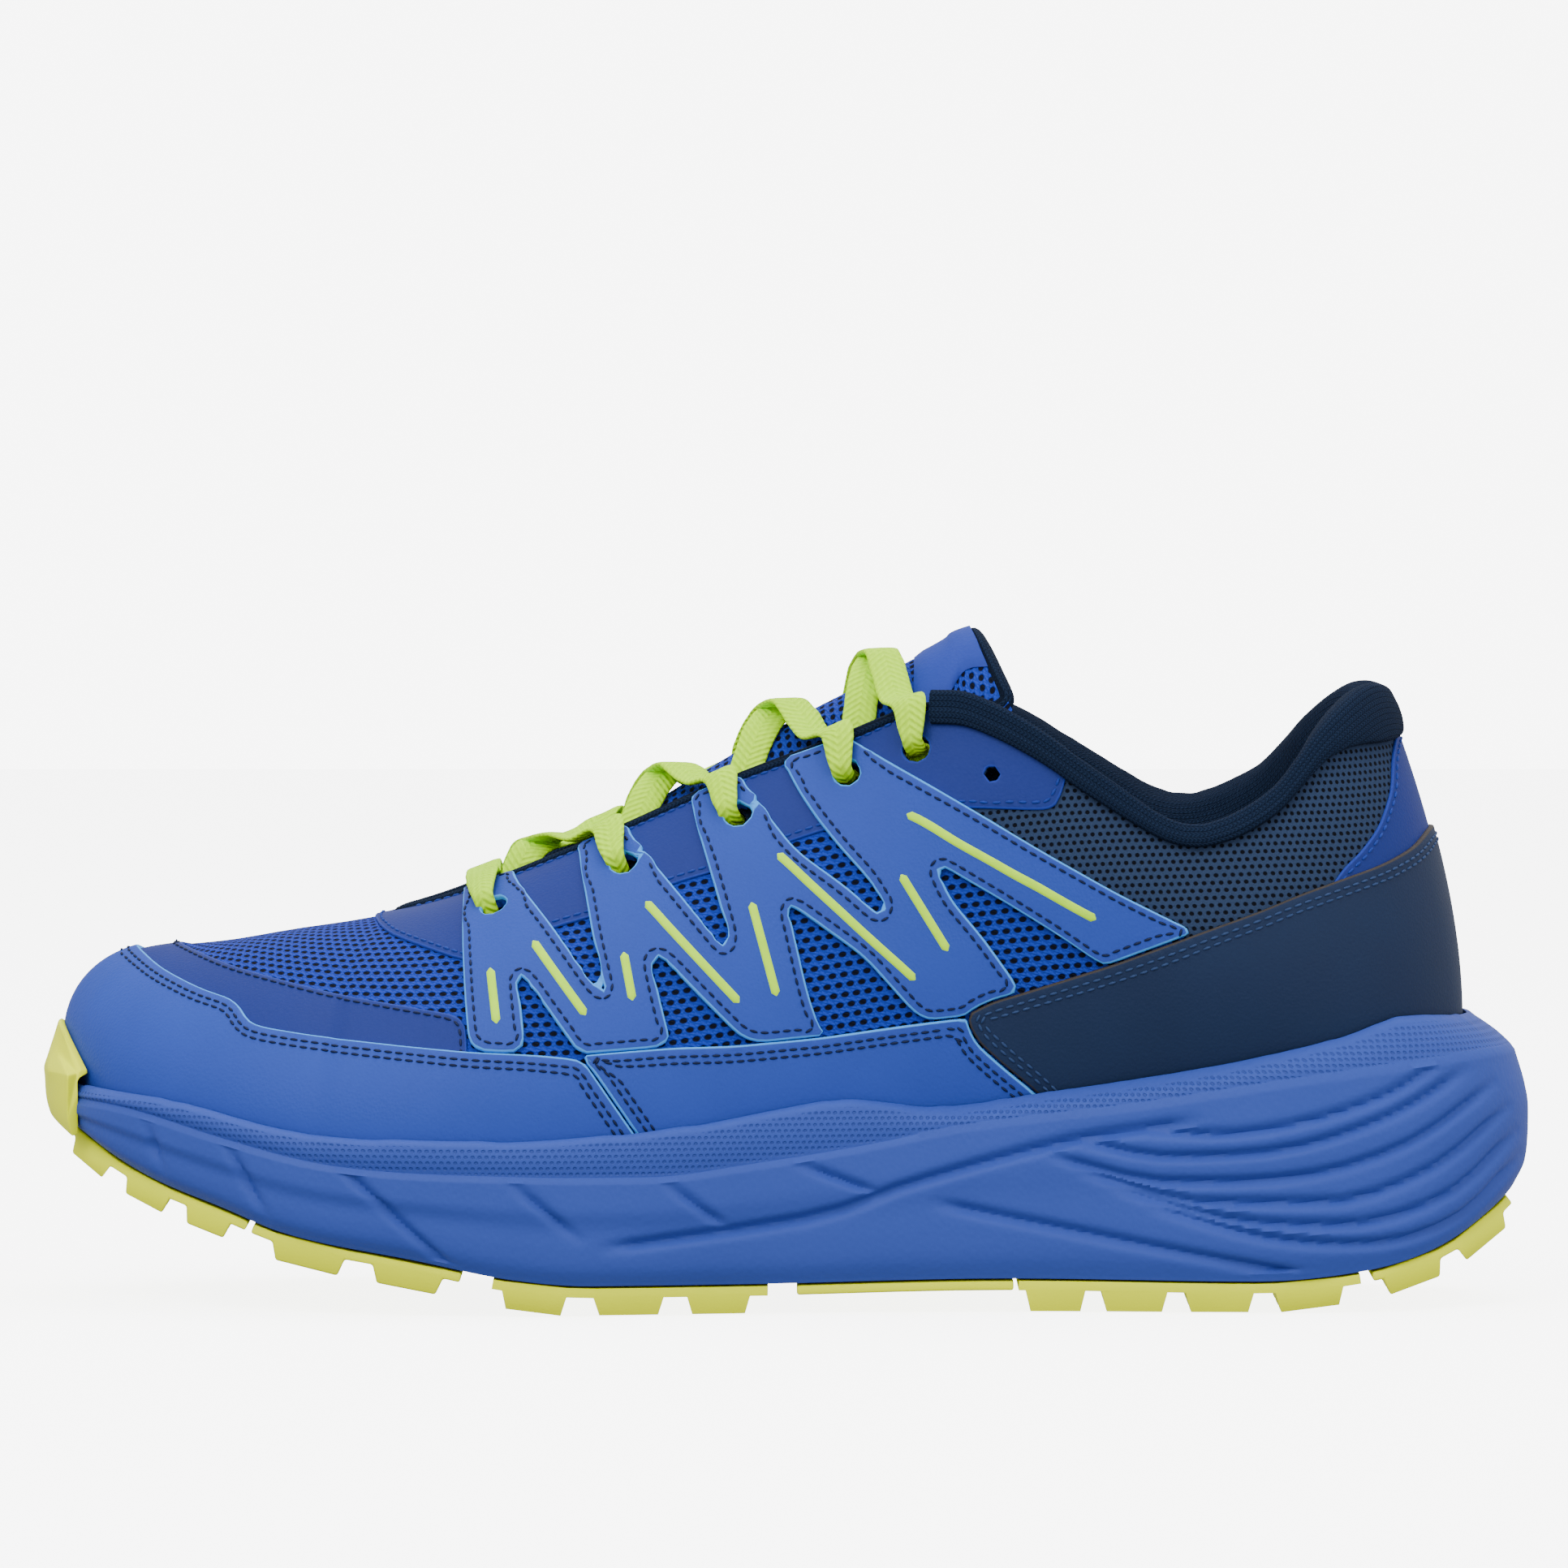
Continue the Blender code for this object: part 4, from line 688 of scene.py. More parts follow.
cageLine = [(-64.3, 102), (-64.3, 72.8), (-63.7, 62.1), (-62.7, 51.6), (-51.6, 51.3), (-53.1, 66),
    (-51.8, 65.5), (-41.2, 51.2), (-39.4, 51.3), (-23, 52.6),
            (-25.4, 62.1), (-27.1, 70.1), (-24.8, 69.6), (-16.8, 61.5), (-8.2, 53.1), (7.1, 54.6),
            (5.8, 57), (3.8, 62.9), (1.1, 74.8), (-0.2, 80.5),
            (15, 69.9), (26.2, 57.5), (34.8, 58.4), (36.8, 60.0), (40.2, 61.6), (46.2, 63.4), (38.8, 73.7),
            (32.3, 81.3), (29.5, 87.5), (31.1, 87.5),
            (43, 80.8), (53.7, 74.3), (62.2, 68.6), (64.4, 69.2), (80.4, 75.1), (75.4, 77.6), (64.6, 82.9),
            (50.6, 90.7), (38.8, 97.7), (26.9, 104.4),
            (13.9, 111.5), (11, 113.2), (6, 128), (-2.6, 124), (-1.2, 108.3), (2.2, 101.8), (5.9, 96.4),
            (10.3, 91.1), (16, 85), (19.3, 79.7), (18.8, 78.5),
            (17.6, 78.5), (11.8, 83.4), (1.7, 90.4), (-4.8, 98.5), (-9.7, 105), (-12, 122), (-21, 118),
            (-18.6, 97.4), (-16.3, 89.4), (-13.9, 81.3),
            (-12.1, 74.8), (-11.8, 71.9), (-12.9, 71.9), (-23.7, 84.6), (-31.8, 93.7), (-35, 112),
            (-43, 107), (-41.2, 88.3), (-38.3, 72), (-36, 62.9),
            (-37.2, 62.9), (-46.9, 75.9), (-54.9, 85), (-57, 102)]

panelSizes = {"meshDepth": (-1.2, 0.0), "filmDepth": (0.1, 0.6), "overlayDepth": (0.6, 1.6),
    "barDepth": (1.5, 1.85), "rim": 0.45, "barHalf": 0.85}
bars = [((-58.5, 67.0), (-57.3, 56.7)), ((-50.2, 72.2), (-39.9, 58.5)), ((-32.4, 70.4), (-30.7, 61.3)),
    ((-28.0, 80.0), (-9.8, 61.0)),
        ((-7.2, 80.2), (-2.4, 62.3)), ((-2.0, 89.6), (25.1, 65.5)), ((22.5, 85.9), (31.6, 71.2)),
        ((23.8, 97.7), (60.9, 77.6))]


def makeBars():
    # thin raised prints, laid along lines of the side view on both sides
    points, faces, quarters = [], [], (0, 0.25, 0.5, 0.75, 1)
    low, high = panelSizes["barDepth"]
    for side in (-1, 1):
        for (x0, z0), (x1, z1) in bars:
            run = np.array([x1 - x0, z1 - z0])
            length = np.linalg.norm(run)
            cross = np.array([-run[1], run[0]]) / length * panelSizes["barHalf"]
            keys = []
            for c in (-1, 1):
                starts = [(x0 + run[0] * t + cross[0] * c, z0 + run[1] * t + cross[1] * c)
                    for t in quarters]
                keys.append([skin.find(x + centre[0], z, side) for x, z in starts])
            count, across = int(length / 0.7), (-1, -0.86, -0.5, 0, 0.5, 0.86, 1)
            rows = []
            for k in range(count + 1):
                t = k / count
                taper = min(1, math.sqrt(max(0, 1 - (1 - min(min(t, 1 - t) * length / 0.8, 1))**2)) + 0.25)
                a, b = [Curve(quarters, key)(t) for key in keys]
                where = np.array([a * (0.5 - 0.5 * c * taper) + b * (0.5 + 0.5 * c * taper)
                    for c in across])
                top = high - 0.25 * np.array([1, 0.45, 0.08, 0, 0.08, 0.45, 1]) - (0.2 if k in (0, count)
                    else 0)
                outer = skin.at(where[:, 0], where[:, 1], top)[0]
                inner = skin.at(where[::-1, 0], where[::-1, 1], np.full(7, low))[0]
                rows.append(np.vstack([outer, inner]))
            base = len(points)
            points += list(np.vstack(rows))
            faces += [tuple(base + k for k in face) for face in tubeFaces(count + 1, 14)]
    piece = meshObject("limeBars", points, faces, barPrint())
    tidyNormals(piece)
    return piece


def tidyNormals(piece, angle=40):
    # joins doubled points, turns the faces outwards and sharpens edges over the angle
    work = bmesh.new()
    work.from_mesh(piece.data)
    bmesh.ops.remove_doubles(work, verts=work.verts, dist=2e-6)
    bmesh.ops.recalc_face_normals(work, faces=work.faces)
    work.to_mesh(piece.data)
    work.free()
    piece.data.set_sharp_from_angle(angle=math.radians(angle))


def barPrint():
    s = Shader("limePrint", lime["bright"], 0.42)
    cloud = s.noise(s.place(), 300.0, 3.0)
    s.out("Base Color", s.blend(cloud, lime["bright"], lime["deep"]))
    s.out("Roughness", cloud * 0.2 + 0.35)
    s.bump(cloud, 0.0001, 0.3)
    return s.material


lime = {"bright": (0.55, 0.96, 0.0), "deep": (0.40, 0.76, 0.0)}
rim, over, film = panelSizes["rim"], panelSizes["overlayDepth"], panelSizes["filmDepth"]
for name, signed, material, depths, edge, stitches, thread, nodes in (
        ("vampMesh", outline(vampSide, 0, True), royalMesh, panelSizes["meshDepth"], 0.1, (), "navy",
        ["vamp_mesh"]),
        ("collarMesh", outline(collarSide, 0, True), spacerMesh, panelSizes["meshDepth"], 0.1, (), "navy",
        ["collar_mesh"]),
        ("toeFilm", outline(toeFilmLine), filmBlue, film, 0.3, (1.2,), "navy", ["toe_film"]),
        ("eyestay", outline(eyestayLine, 2, True), filmBlue, film, 0.3, (1.4,), "royal", ["eyestay"]),
        ("heelPatch", outline(heelPatchLine), filmBlue, film, 0.3, (1.4,), "royal", ["heel_patch"]),
        ("toeCap", outline(toeCapLine), blueSuede, over, rim, (1.8, 3.1), "navy", ["toe_cap"]),
        ("foxing", outline(foxingLine), blueSuede, over, rim, (1.8, 3.1), "navy",
        ["foxing_lateral", "foxing_medial"]),
        ("heelWrap", outline(heelWrapLine), navySuede, over, rim, (1.8, 3.1), "slate", ["heel_wrap"]),
        ("cage", outline(cageLine, 2, True), blueSuede, over, rim, (1.7,), "navy",
        ["cage_lateral", "cage_medial"])):
    piece = panel(name, signed, material, depths, edge, stitches, thread)
    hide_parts(*nodes)
makeBars()
print("panels", len(stitchLines))

midsoleSizes = {"cupGap": 2.4, "lip": 2.0, "rowsBand": 9, "rowsWall": 62, "across": 8, "ridgeStep": 0.9,
    "grooveDeep": 1.7}


def biteShares(w):
    # share of each section's height, from the footbed, at which the upper enters the sole
    shares = np.linspace(0, 0.6, 121)
    heights = section(w[:, None], shares[None, :])
    return shares[(heights[..., 2] >= biteZ(heights[..., 0])).argmax(axis=1)]


# grooves of the wall in the side view: points, half width, depth
grooves = [
    [[(-127.2, 37.1), (-124.0, 27.3)], 0.9, 0.7], [[(-111.0, 33.8), (-102.9, 19.2)], 0.9, 0.7],
    [[(-88.2, 29.8), (-66.3, 9.4)], 0.9, 0.8],
    [[(-54.1, 26.5), (-41.1, 15.1)], 0.9, 0.8], [[(-24.0, 26.5), (-11.0, 16.4)], 0.9, 0.8],
    [[(2.0, 29.8), (19.1, 23.3)], 0.9, 0.8],
    [[(-35.4, 13.5), (5.3, 19.2), (24.8, 25.7), (54.1, 33.8), (80, 38)], 1.1, 1.0],
    [[(29.7, 21.6), (73.6, 12.7), (102.8, 7.0)], 1.1, 0.9],
    [[(52, 31), (75, 26), (100, 27), (122, 33), (140, 44)], 1.0, 0.9],
    [[(58, 28), (82, 22), (106, 22), (127, 28), (143, 39)], 1.0, 0.9],
    [[(64, 25), (88, 18.5), (110, 17.5), (131, 23), (145, 34)], 1.0, 0.9],
    [[(72, 21), (94, 15), (114, 13.5), (133, 18), (146, 29)], 1.0, 0.9],
    [[(56, 34.5), (75, 31), (98, 32.5), (118, 38.5), (134, 47)], 1.0, 0.9],
    [[(66, 36.5), (84, 35.5), (102, 38), (118, 43), (129, 49)], 0.9, 0.8]]


def makeMidsole():
    n = soleShape["columns"]
    w = np.arange(n) * loopEnd / n
    toe = np.clip(1 - fromToe(w) / 2.5, 0, 1)
    bite = biteShares(w)
    for _ in range(3):  # evens the steps of the search
        bite = (np.roll(bite, 1) + bite + np.roll(bite, -1)) / 3

    def cup(share, gap):
        return skin.at(w, bite * share, gap)[0] - centre

    p = soleOutline(w)
    out = outward(soleOutline, w)
    full = np.concatenate([p, np.zeros((n, 1))], 1)
    side = np.concatenate([out, np.zeros((n, 1))], 1)
    low = bottomZ(p[:, 0] - out[:, 0] * 2.4)
    up = ridgeZ(p[:, 0])
    brim, flare = cup(1, midsoleSizes["cupGap"]), cup(1, midsoleSizes["cupGap"] + 1.0)
    lip, normal = skin.at(w, bite)
    lip = lip - centre + normal * (midsoleSizes["cupGap"] + midsoleSizes["lip"] - toe)[:, None]
    lip[:, 2] = np.minimum(lip[:, 2], brim[:, 2]) - 0.9
    flare[:, 2] = np.minimum(flare[:, 2], brim[:, 2]) - 0.1

    def at(points, z):
        points = points.copy()
        points[:, 2] = z
        return points

    ridge = at(0.35 * lip + 0.65 * full, up)
    step = ridge + side * midsoleSizes["ridgeStep"] - (0, 0, 1.2)
    middle = at(full, low + 0.5 * (up - low))
    lowWall = at(full - side * 0.7, low + 0.12 * (up - low) + 0.6)
    edge = at(full - side * 2.6, low)
    rows = [cup(0, midsoleSizes["cupGap"]), cup(0.5, midsoleSizes["cupGap"]), brim, flare, lip]
    rows[0][:, 2] = footbedZ(rows[0][:, 0]) - 0.45
    band = midsoleSizes["rowsBand"]
    for k in range(1, band + 1):
        rows.append(lip + (ridge - lip) * (k / band) + side * 0.5 * math.sin(math.pi * k / band))
    first = len(rows)
    upperWall, lowerWall = (step + middle) / 2 + side * 0.5, (middle + lowWall) / 2 + side * 0.25
    keys = np.array([step, upperWall, middle, lowerWall, lowWall, edge])
    wall = Curve([0, 1.2, 3, 4, 5, 6], keys.reshape(6, -1))
    rows += [wall(t).reshape(n, 3) for t in np.linspace(0, 6, midsoleSizes["rowsWall"])]
    grid = np.array(rows) + centre
    # grooves, sunk along the wall's normal
    du, dv = np.roll(grid, -1, 1) - np.roll(grid, 1, 1), np.gradient(grid, axis=0)
    normal = unit(np.cross(dv, du))
    if normal[first + 5, n // 2, 0] < 0:
        normal = -normal
    x, z = grid[..., 0] - centre[0], grid[..., 2]
    sink = np.zeros(x.shape)
    for line, half, deep in grooves:
        path = np.array(line, float)
        if len(line) > 2:
            path = Curve(range(len(line)), line)(np.linspace(0, len(line) - 1, 14))
        far = nearLine(x, z, path)
        ends = np.minimum.reduce([np.hypot(x - end[0], z - end[1]) for end in (path[0], path[-1])])
        cut = deep * midsoleSizes["grooveDeep"] * np.exp(-(far / half)**2) * np.clip(ends / 6 + 0.15, 0, 1)
        sink = np.maximum(sink, cut)
    wallRows = np.zeros(len(rows))
    wallRows[first + 1 : -4] = 1
    grid -= normal * (sink * wallRows[:, None])[..., None]
    points = grid.reshape(-1, 3)
    count = len(rows)
    faces = tubeFaces(count, n)[:-2]
    # underside and footbed, each a sheet of strips across the sole
    extra, across = [], midsoleSizes["across"]
    for row in (count - 1, 0):
        a, b = grid[row], grid[row][(-np.arange(n)) % n]
        start, steps = len(points) + len(extra), n // 2 + 1
        for i in range(steps):
            extra += [a[i] * (1 - k / across) + b[i] * (k / across) for k in range(across + 1)]
        for i in range(steps - 1):
            for k in range(across):
                q = start + i * (across + 1) + k
                faces.append((q, q + 1, q + across + 2, q + across + 1))
    points = np.vstack([points, extra])
    piece = meshObject("midsoleFoam", points, faces, None)
    # 0 above the dotted band, 0 to 1 down it, 2 on the wall and 3 on the two sheets
    onRows = [0] * 5 + [k / band for k in range(1, band + 1)] + [2] * (count - 5 - band)
    attribute(piece, "band", np.concatenate([np.repeat(onRows, n), np.full(len(extra), 3)]))
    girth = lengthAlong(full[:, :2])
    wallMap = np.stack([np.tile(girth, count), points[: count * n, 2]], -1)
    mapUv(piece, np.concatenate([wallMap, np.zeros((len(extra), 2))]))
    tidyNormals(piece, 42)
    return piece


def foamSkin():
    # moulded foam: fine leather grain on the wall, rows of dots on the band under the upper, darkened with
    # painted shade
    s = Shader("midsoleFoam", (0.011, 0.055, 0.28), 0.6)
    place = s.place()
    band = s.read("band")
    onBand = band.step(0.02, 0.12) * band.step(1.0, 0.9)
    a, b = s.staggered(1.3, 1.15)
    dots = (a * a + b * b).power(0.5).step(0.36, 0.18) * onBand
    grain = s.cells(place, 900.0)
    cloud = s.noise(place, 40.0, 4.0)
    base = s.blend(cloud, (0.026, 0.058, 0.31), (0.033, 0.068, 0.35))
    # painted shade: the dots are darkened as if shaded inside their dimples
    s.out("Base Color", s.blend(dots * 0.45, base, (0.010, 0.026, 0.16)))
    s.out("Roughness", cloud * 0.15 + 0.52)
    s.bump(grain * 0.25 * (1.0 - onBand) - dots, 0.0003, 0.7)
    return s.material


midsole = makeMidsole()
midsole.data.materials.append(foamSkin())
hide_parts("midsole")
print("midsole", len(midsole.data.polygons))

# coarse columns and rows that the padded pieces are keyed on
biteTable = biteShares(skin.w)


def onSkin(column, row, depth=0.0):
    # point and normal at one of 48 columns, from the toe along the lateral side, and a row from 0 to 7
    w = np.asarray(column, float) * loopEnd / 48
    bite = np.interp(w % loopEnd, np.append(skin.w, loopEnd), np.append(biteTable, biteTable[0]))
    row = np.asarray(row, float)
    return skin.at(w, np.where(row <= 2, bite * row / 2, bite + (1 - bite) * (row - 2) / 5),
        np.asarray(depth, float))


def finer(grid, steps, axis=0):
    # smooth curve through the rows of a grid, with steps between them
    grid = np.moveaxis(np.asarray(grid, float), axis, 0)
    before = np.concatenate([2 * grid[:1] - grid[1:2], grid, 2 * grid[-1:] - grid[-2:-1]])
    out = []
    for i in range(len(grid) - 1):
        a, b, c, d = before[i : i + 4]
        for k in range(steps):
            t = k / steps
            bend, turn = 2 * a - 5 * b + 4 * c - d, 3 * b - a - 3 * c + d
            out.append(0.5 * (2 * b + (c - a) * t + bend * t**2 + turn * t**3))
    out.append(grid[-1])
    return np.moveaxis(np.array(out), 0, axis)


def gridNormals(grid, like):
    normal = unit(np.cross(np.gradient(grid, axis=0), np.gradient(grid, axis=1)))
    return normal if (normal[grid.shape[0] // 2, grid.shape[1] // 2] * like).sum() > 0 else -normal


def gridUv(grid):
    rise = np.linalg.norm(np.diff(grid, axis=0), axis=2)
    cross = np.linalg.norm(np.diff(grid, axis=1), axis=2)
    u = np.concatenate([np.zeros((grid.shape[0], 1)), np.cumsum(cross, axis=1)], 1)
    v = np.concatenate([np.zeros((1, grid.shape[1])), np.cumsum(rise, axis=0)], 0)
    return np.stack([u - u[:, u.shape[1] // 2][:, None], v], -1)


def slab(name, front, back, material, body, uv=None):
    # closed piece between two grids
    points = np.vstack([front.reshape(-1, 3), back.reshape(-1, 3)])
    piece = meshObject(name, points, shellFaces(*front.shape[:2]), material, body)
    flat = (gridUv(front) if uv is None else uv).reshape(-1, 2)
    mapUv(piece, np.vstack([flat, flat]))
    tidyNormals(piece, 60)
    return piece


padSizes = {"voxel": 4.5, "pressure": 4.0, "frames": 20, "cap": 1.6}


def puffed(name, points, faces):
    # how far each point of a closed form moves when it is blown up as a sewn pad, mm
    points = np.asarray(points, float)
    form = meshObject(name + "Form", points, faces, None, None)
    remesh = form.modifiers.new("remesh", "REMESH")
    remesh.mode, remesh.voxel_size = "VOXEL", padSizes["voxel"] * mm
    data = finished(form)
    soft = placed(name + "Soft", data)
    rest = np.array([v.co for v in data.vertices]) / mm
    cloth = soft.modifiers.new("cloth", "CLOTH")
    cloth.settings.use_pressure = True
    cloth.settings.uniform_pressure_force = padSizes["pressure"]
    cloth.settings.effector_weights.gravity = 0
    cloth.settings.quality = 5
    cloth.settings.tension_stiffness = cloth.settings.compression_stiffness = 30
    cloth.point_cache.frame_start, cloth.point_cache.frame_end = 1, padSizes["frames"]
    for moment in range(1, padSizes["frames"] + 1):
        bpy.context.scene.frame_set(moment)
    blown = soft.evaluated_get(bpy.context.evaluated_depsgraph_get()).to_mesh()
    moved = np.array([v.co for v in blown.vertices]) / mm - rest
    bpy.context.scene.frame_set(1)
    far = np.linalg.norm(moved, axis=1, keepdims=True)
    moved *= np.minimum(1, padSizes["cap"] / np.maximum(far, 1e-9))
    tree = KDTree(len(rest))
    for k, p in enumerate(rest):
        tree.insert(p, k)
    tree.balance()
    found = np.zeros(points.shape)
    for k, p in enumerate(points):
        near = tree.find_n(p, 6)
        weight = np.array([1 / (d + 0.5)**2 for _, _, d in near])
        found[k] = (moved[[q for _, q, _ in near]] * weight[:, None]).sum(0) / weight.sum()
    for old in (soft, form):
        bpy.data.objects.remove(old)
    print(name, "pad moved up to", round(float(np.linalg.norm(found, axis=1).max()), 2), "mm")
    return found


def knit(name, light, dark):
    # fine ribbed jersey: short slanted loops in columns, in the piece's own map
    s = Shader(name, light, 0.9, 0.08)
    u, v, _ = s.split(s.uv())
    side = ((u / 1.15).part() - 0.5).size()
    loops = (v * 7.4 + side * 9.0).wave() * 0.5 + 0.5
    rib = (side * 2.0).step(1.0, 0.7)
    fuzz = s.noise(s.uv(), 2.0, 4.0)
    s.out("Base Color", s.blend(loops * 0.6 + fuzz * 0.4, dark, light))
    s.out("Roughness", fuzz * 0.1 + 0.85)
    s.bump(loops * 0.5 * rib + rib * 0.6 + fuzz * 0.4, 0.00045, 0.8)
    return s.material


navyKnit = knit("navyKnit", (0.009, 0.020, 0.05), (0.0025, 0.006, 0.018))
tongueSizes = {"tuck": 6.9, "fine": 7,
               "rows": [(5, 0.6), (6, 2.5), (7, 4.4), (8, 6.2), (9, 7.6), (10, 8.8), (11, 10.0), (12, 11.2),
                        (13, 12.4), (14, 13.6)],
               "top": [(33.0, 18.0, 132.8, 16.0, 5.0), (37.0, 18.5, 134.4, 17.0, 8.0)], "fill": 0.55,
               "thick": [(0, 0.5), (3, 2.6), (7, 4.2), (10, 5.6), (11, 4.6)], "least": 2.2,
               "freeSides": (1, 1, 0.6, 0.15, 0.02), "tuckedSides": (1, 1, 0.9, 0.6, 0.3)}


def tongueGrid():
    # rows of points from the sewn base to the free top, nine across
    rows = []
    for i, crown in tongueSizes["rows"]:
        low = {5: 6.35, 6: 6.1, 7: 5.9, 12: 6.0, 13: 6.3, 14: 6.65}.get(i, 5.75)
        edges = [[onSkin(column, r, -tongueSizes["tuck"])[0] for r in (low, (low + 7) / 2, 7)]
            for column in (i, 48 - i)]
        left, right = edges[0][2], edges[1][2]
        if i <= 6:
            left, right = left + (0, -2.5, -1.0), right + (0, 2.5, -1.0)
        top = (left + right) / 2 + (0, 0, crown)
        quarter = [side * 0.56 + top * 0.44 + (0, 0, 0.30 * crown) for side in (left, right)]
        rows.append([*edges[0][:2], left, quarter[0], top, quarter[1], right, edges[1][1], edges[1][0]])
    for x, width, z, drop, back in tongueSizes["top"]:
        shares = (-1, -0.9, -0.76, -0.42, 0, 0.42, 0.76, 0.9, 1)
        rows.append([np.array([x + back * c**2, 1.0 + width * c, z - drop * abs(c)**2.2]) + centre
            for c in shares])
    return finer(finer(np.array(rows), tongueSizes["fine"]), tongueSizes["fine"], axis=1)


tongueFace = []


def makeTongue():
    grid = tongueGrid()
    fine = tongueSizes["fine"]
    rows, columns = grid.shape[:2]
    normal = gridNormals(grid, np.array([-0.3, 0, 1.0]))
    for _ in range(3):
        normal[1:-1] = (normal[:-2] + 2 * normal[1:-1] + normal[2:]) / 4
    normal = unit(normal)
    row, across = np.arange(rows) / fine, abs(np.arange(columns) / fine - 4)
    # thickness falls off from the middle to the sides, faster on the free top rows
    edges = [np.interp(across, range(5), tongueSizes[key])[None, :] for key in ("freeSides", "tuckedSides")]
    thick = along(tongueSizes["thick"])(row)[:, None] * np.where(row[:, None] >= 8, *edges)
    front, back = grid, grid - normal * (tongueSizes["least"] + thick)[..., None]
    points = np.vstack([front.reshape(-1, 3), back.reshape(-1, 3)])
    moved = puffed("tongue", points, shellFaces(rows, columns)).reshape(2, rows, columns, 3)
    hold = (np.clip((row - 6.0) / 2, 0, 1)[:, None] * np.clip((3.6 - across) / 1.2, 0, 1)[None, :])[...,
        None]
    front, back = front + moved[0] * hold, back + moved[1] * hold
    uv = gridUv(grid)
    tongueFace.append(front.reshape(-1, 3))
    shell = slab("tongueShell", front, front - normal * 0.8, royalMesh, "tongue", uv)
    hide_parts("tongue_shell")
    lining = slab("tongueLining", back + normal * 0.7, back, navyKnit, "tongue", uv)
    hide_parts("tongue_lining")
    inner = (slice(2, rows - 4), slice(6, columns - 6))
    foam = slab("tongueFoam", (front - normal * 1.1)[inner], (back + normal * 1.0)[inner], openFoam,
        "tongue", uv[inner])
    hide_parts("tongue_foam")
    # smooth welded patch over the top, its lower edge a shallow arc
    a, b = int(8.6 * fine), rows - 1
    c, d = int(2.35 * fine), columns - int(2.35 * fine)
    fromSide = np.minimum(np.arange(d - c), np.arange(d - c)[::-1])
    edge = np.minimum(np.arange(b - a)[:, None], fromSide[None, :])
    lift = 0.25 + 0.55 * np.sqrt(np.clip(edge / 1.2, 0, 1))
    under, out = front[a:b, c:d], normal[a:b, c:d]
    patch = slab("tonguePatch", under + out * lift[..., None], under + out * 0.1, filmBlue, "tongue",
        uv[a:b, c:d])
    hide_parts("tongue_patch")
    # knit binding rolled over the top and down both sides of the opening
    path = [(i, 3) for i in range(8 * fine, rows - 3)] + [(rows - 1, j) for j in range(5, columns - 5)]
    path += [(i, columns - 4) for i in range(rows - 4, 8 * fine - 1, -1)]
    middle = np.array([(front[p] + back[p]) / 2 for p in path])
    high = np.array([np.linalg.norm(front[p] - back[p]) / 2 + 0.35 for p in path])
    up = np.array([normal[p] for p in path])
    roll("tongueBinding", middle, up, high, 1.9, navyKnit, "tongue", "tongue_binding")


def smoothLine(points, turns=4):
    points = np.array(points, float)
    for _ in range(turns):
        points[1:-1] = (points[:-2] + 2 * points[1:-1] + points[2:]) / 4
    return points


def roll(name, middle, up, high, wide, material, body, node=None, around=18):
    # soft tube along a line, with its own half height and half width
    middle, high = smoothLine(middle, 8), np.broadcast_to(np.asarray(high, float), (len(middle),))
    tangent = unit(np.gradient(middle, axis=0))
    up = smoothLine(up, 8)
    up = unit(up - tangent * (up * tangent).sum(1, keepdims=True))
    side = np.cross(tangent, up)
    angle = np.linspace(0, 2 * math.pi, around, endpoint=False)
    count = len(middle)
    fromEnd = np.clip(np.minimum(np.arange(count), np.arange(count)[::-1]) / 3, 0, 1)
    ends = np.sqrt(np.clip(1 - (1 - fromEnd)**2, 0.02, 1))  # both ends close in a round
    rise = up[:, None] * np.cos(angle)[None, :, None] * (high * ends)[:, None, None]
    reach = side[:, None] * np.sin(angle)[None, :, None] * (wide * ends)[:, None, None]
    rings = middle[:, None] + rise + reach
    piece = meshObject(name, rings.reshape(-1, 3), tubeFaces(count, around), material, body)
    run = lengthAlong(middle)
    girth = angle * (wide + float(high.mean())) / 2
    mapUv(piece, np.stack([np.tile(girth, count), np.repeat(run, around)], -1))
    tidyNormals(piece, 70)
    if node:
        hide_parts(node)


def foam():
    s = Shader("openFoam", (0.42, 0.42, 0.43), 0.9)
    cells = s.cells(s.place(), 900.0)
    s.out("Base Color", s.blend(cells, (0.25, 0.25, 0.26), (0.5, 0.5, 0.5)))
    s.bump(cells, 0.0004, 0.7)
    return s.material


openFoam = foam()
makeTongue()
print("tongue")

collarSizes = {"fill": 0.6, "cloth": 0.7,
               "inner": [(9, 4.9), (11, 6.2), (13, 9.0), (15, 9.6), (16, 8.6), (17, 8.2)]}


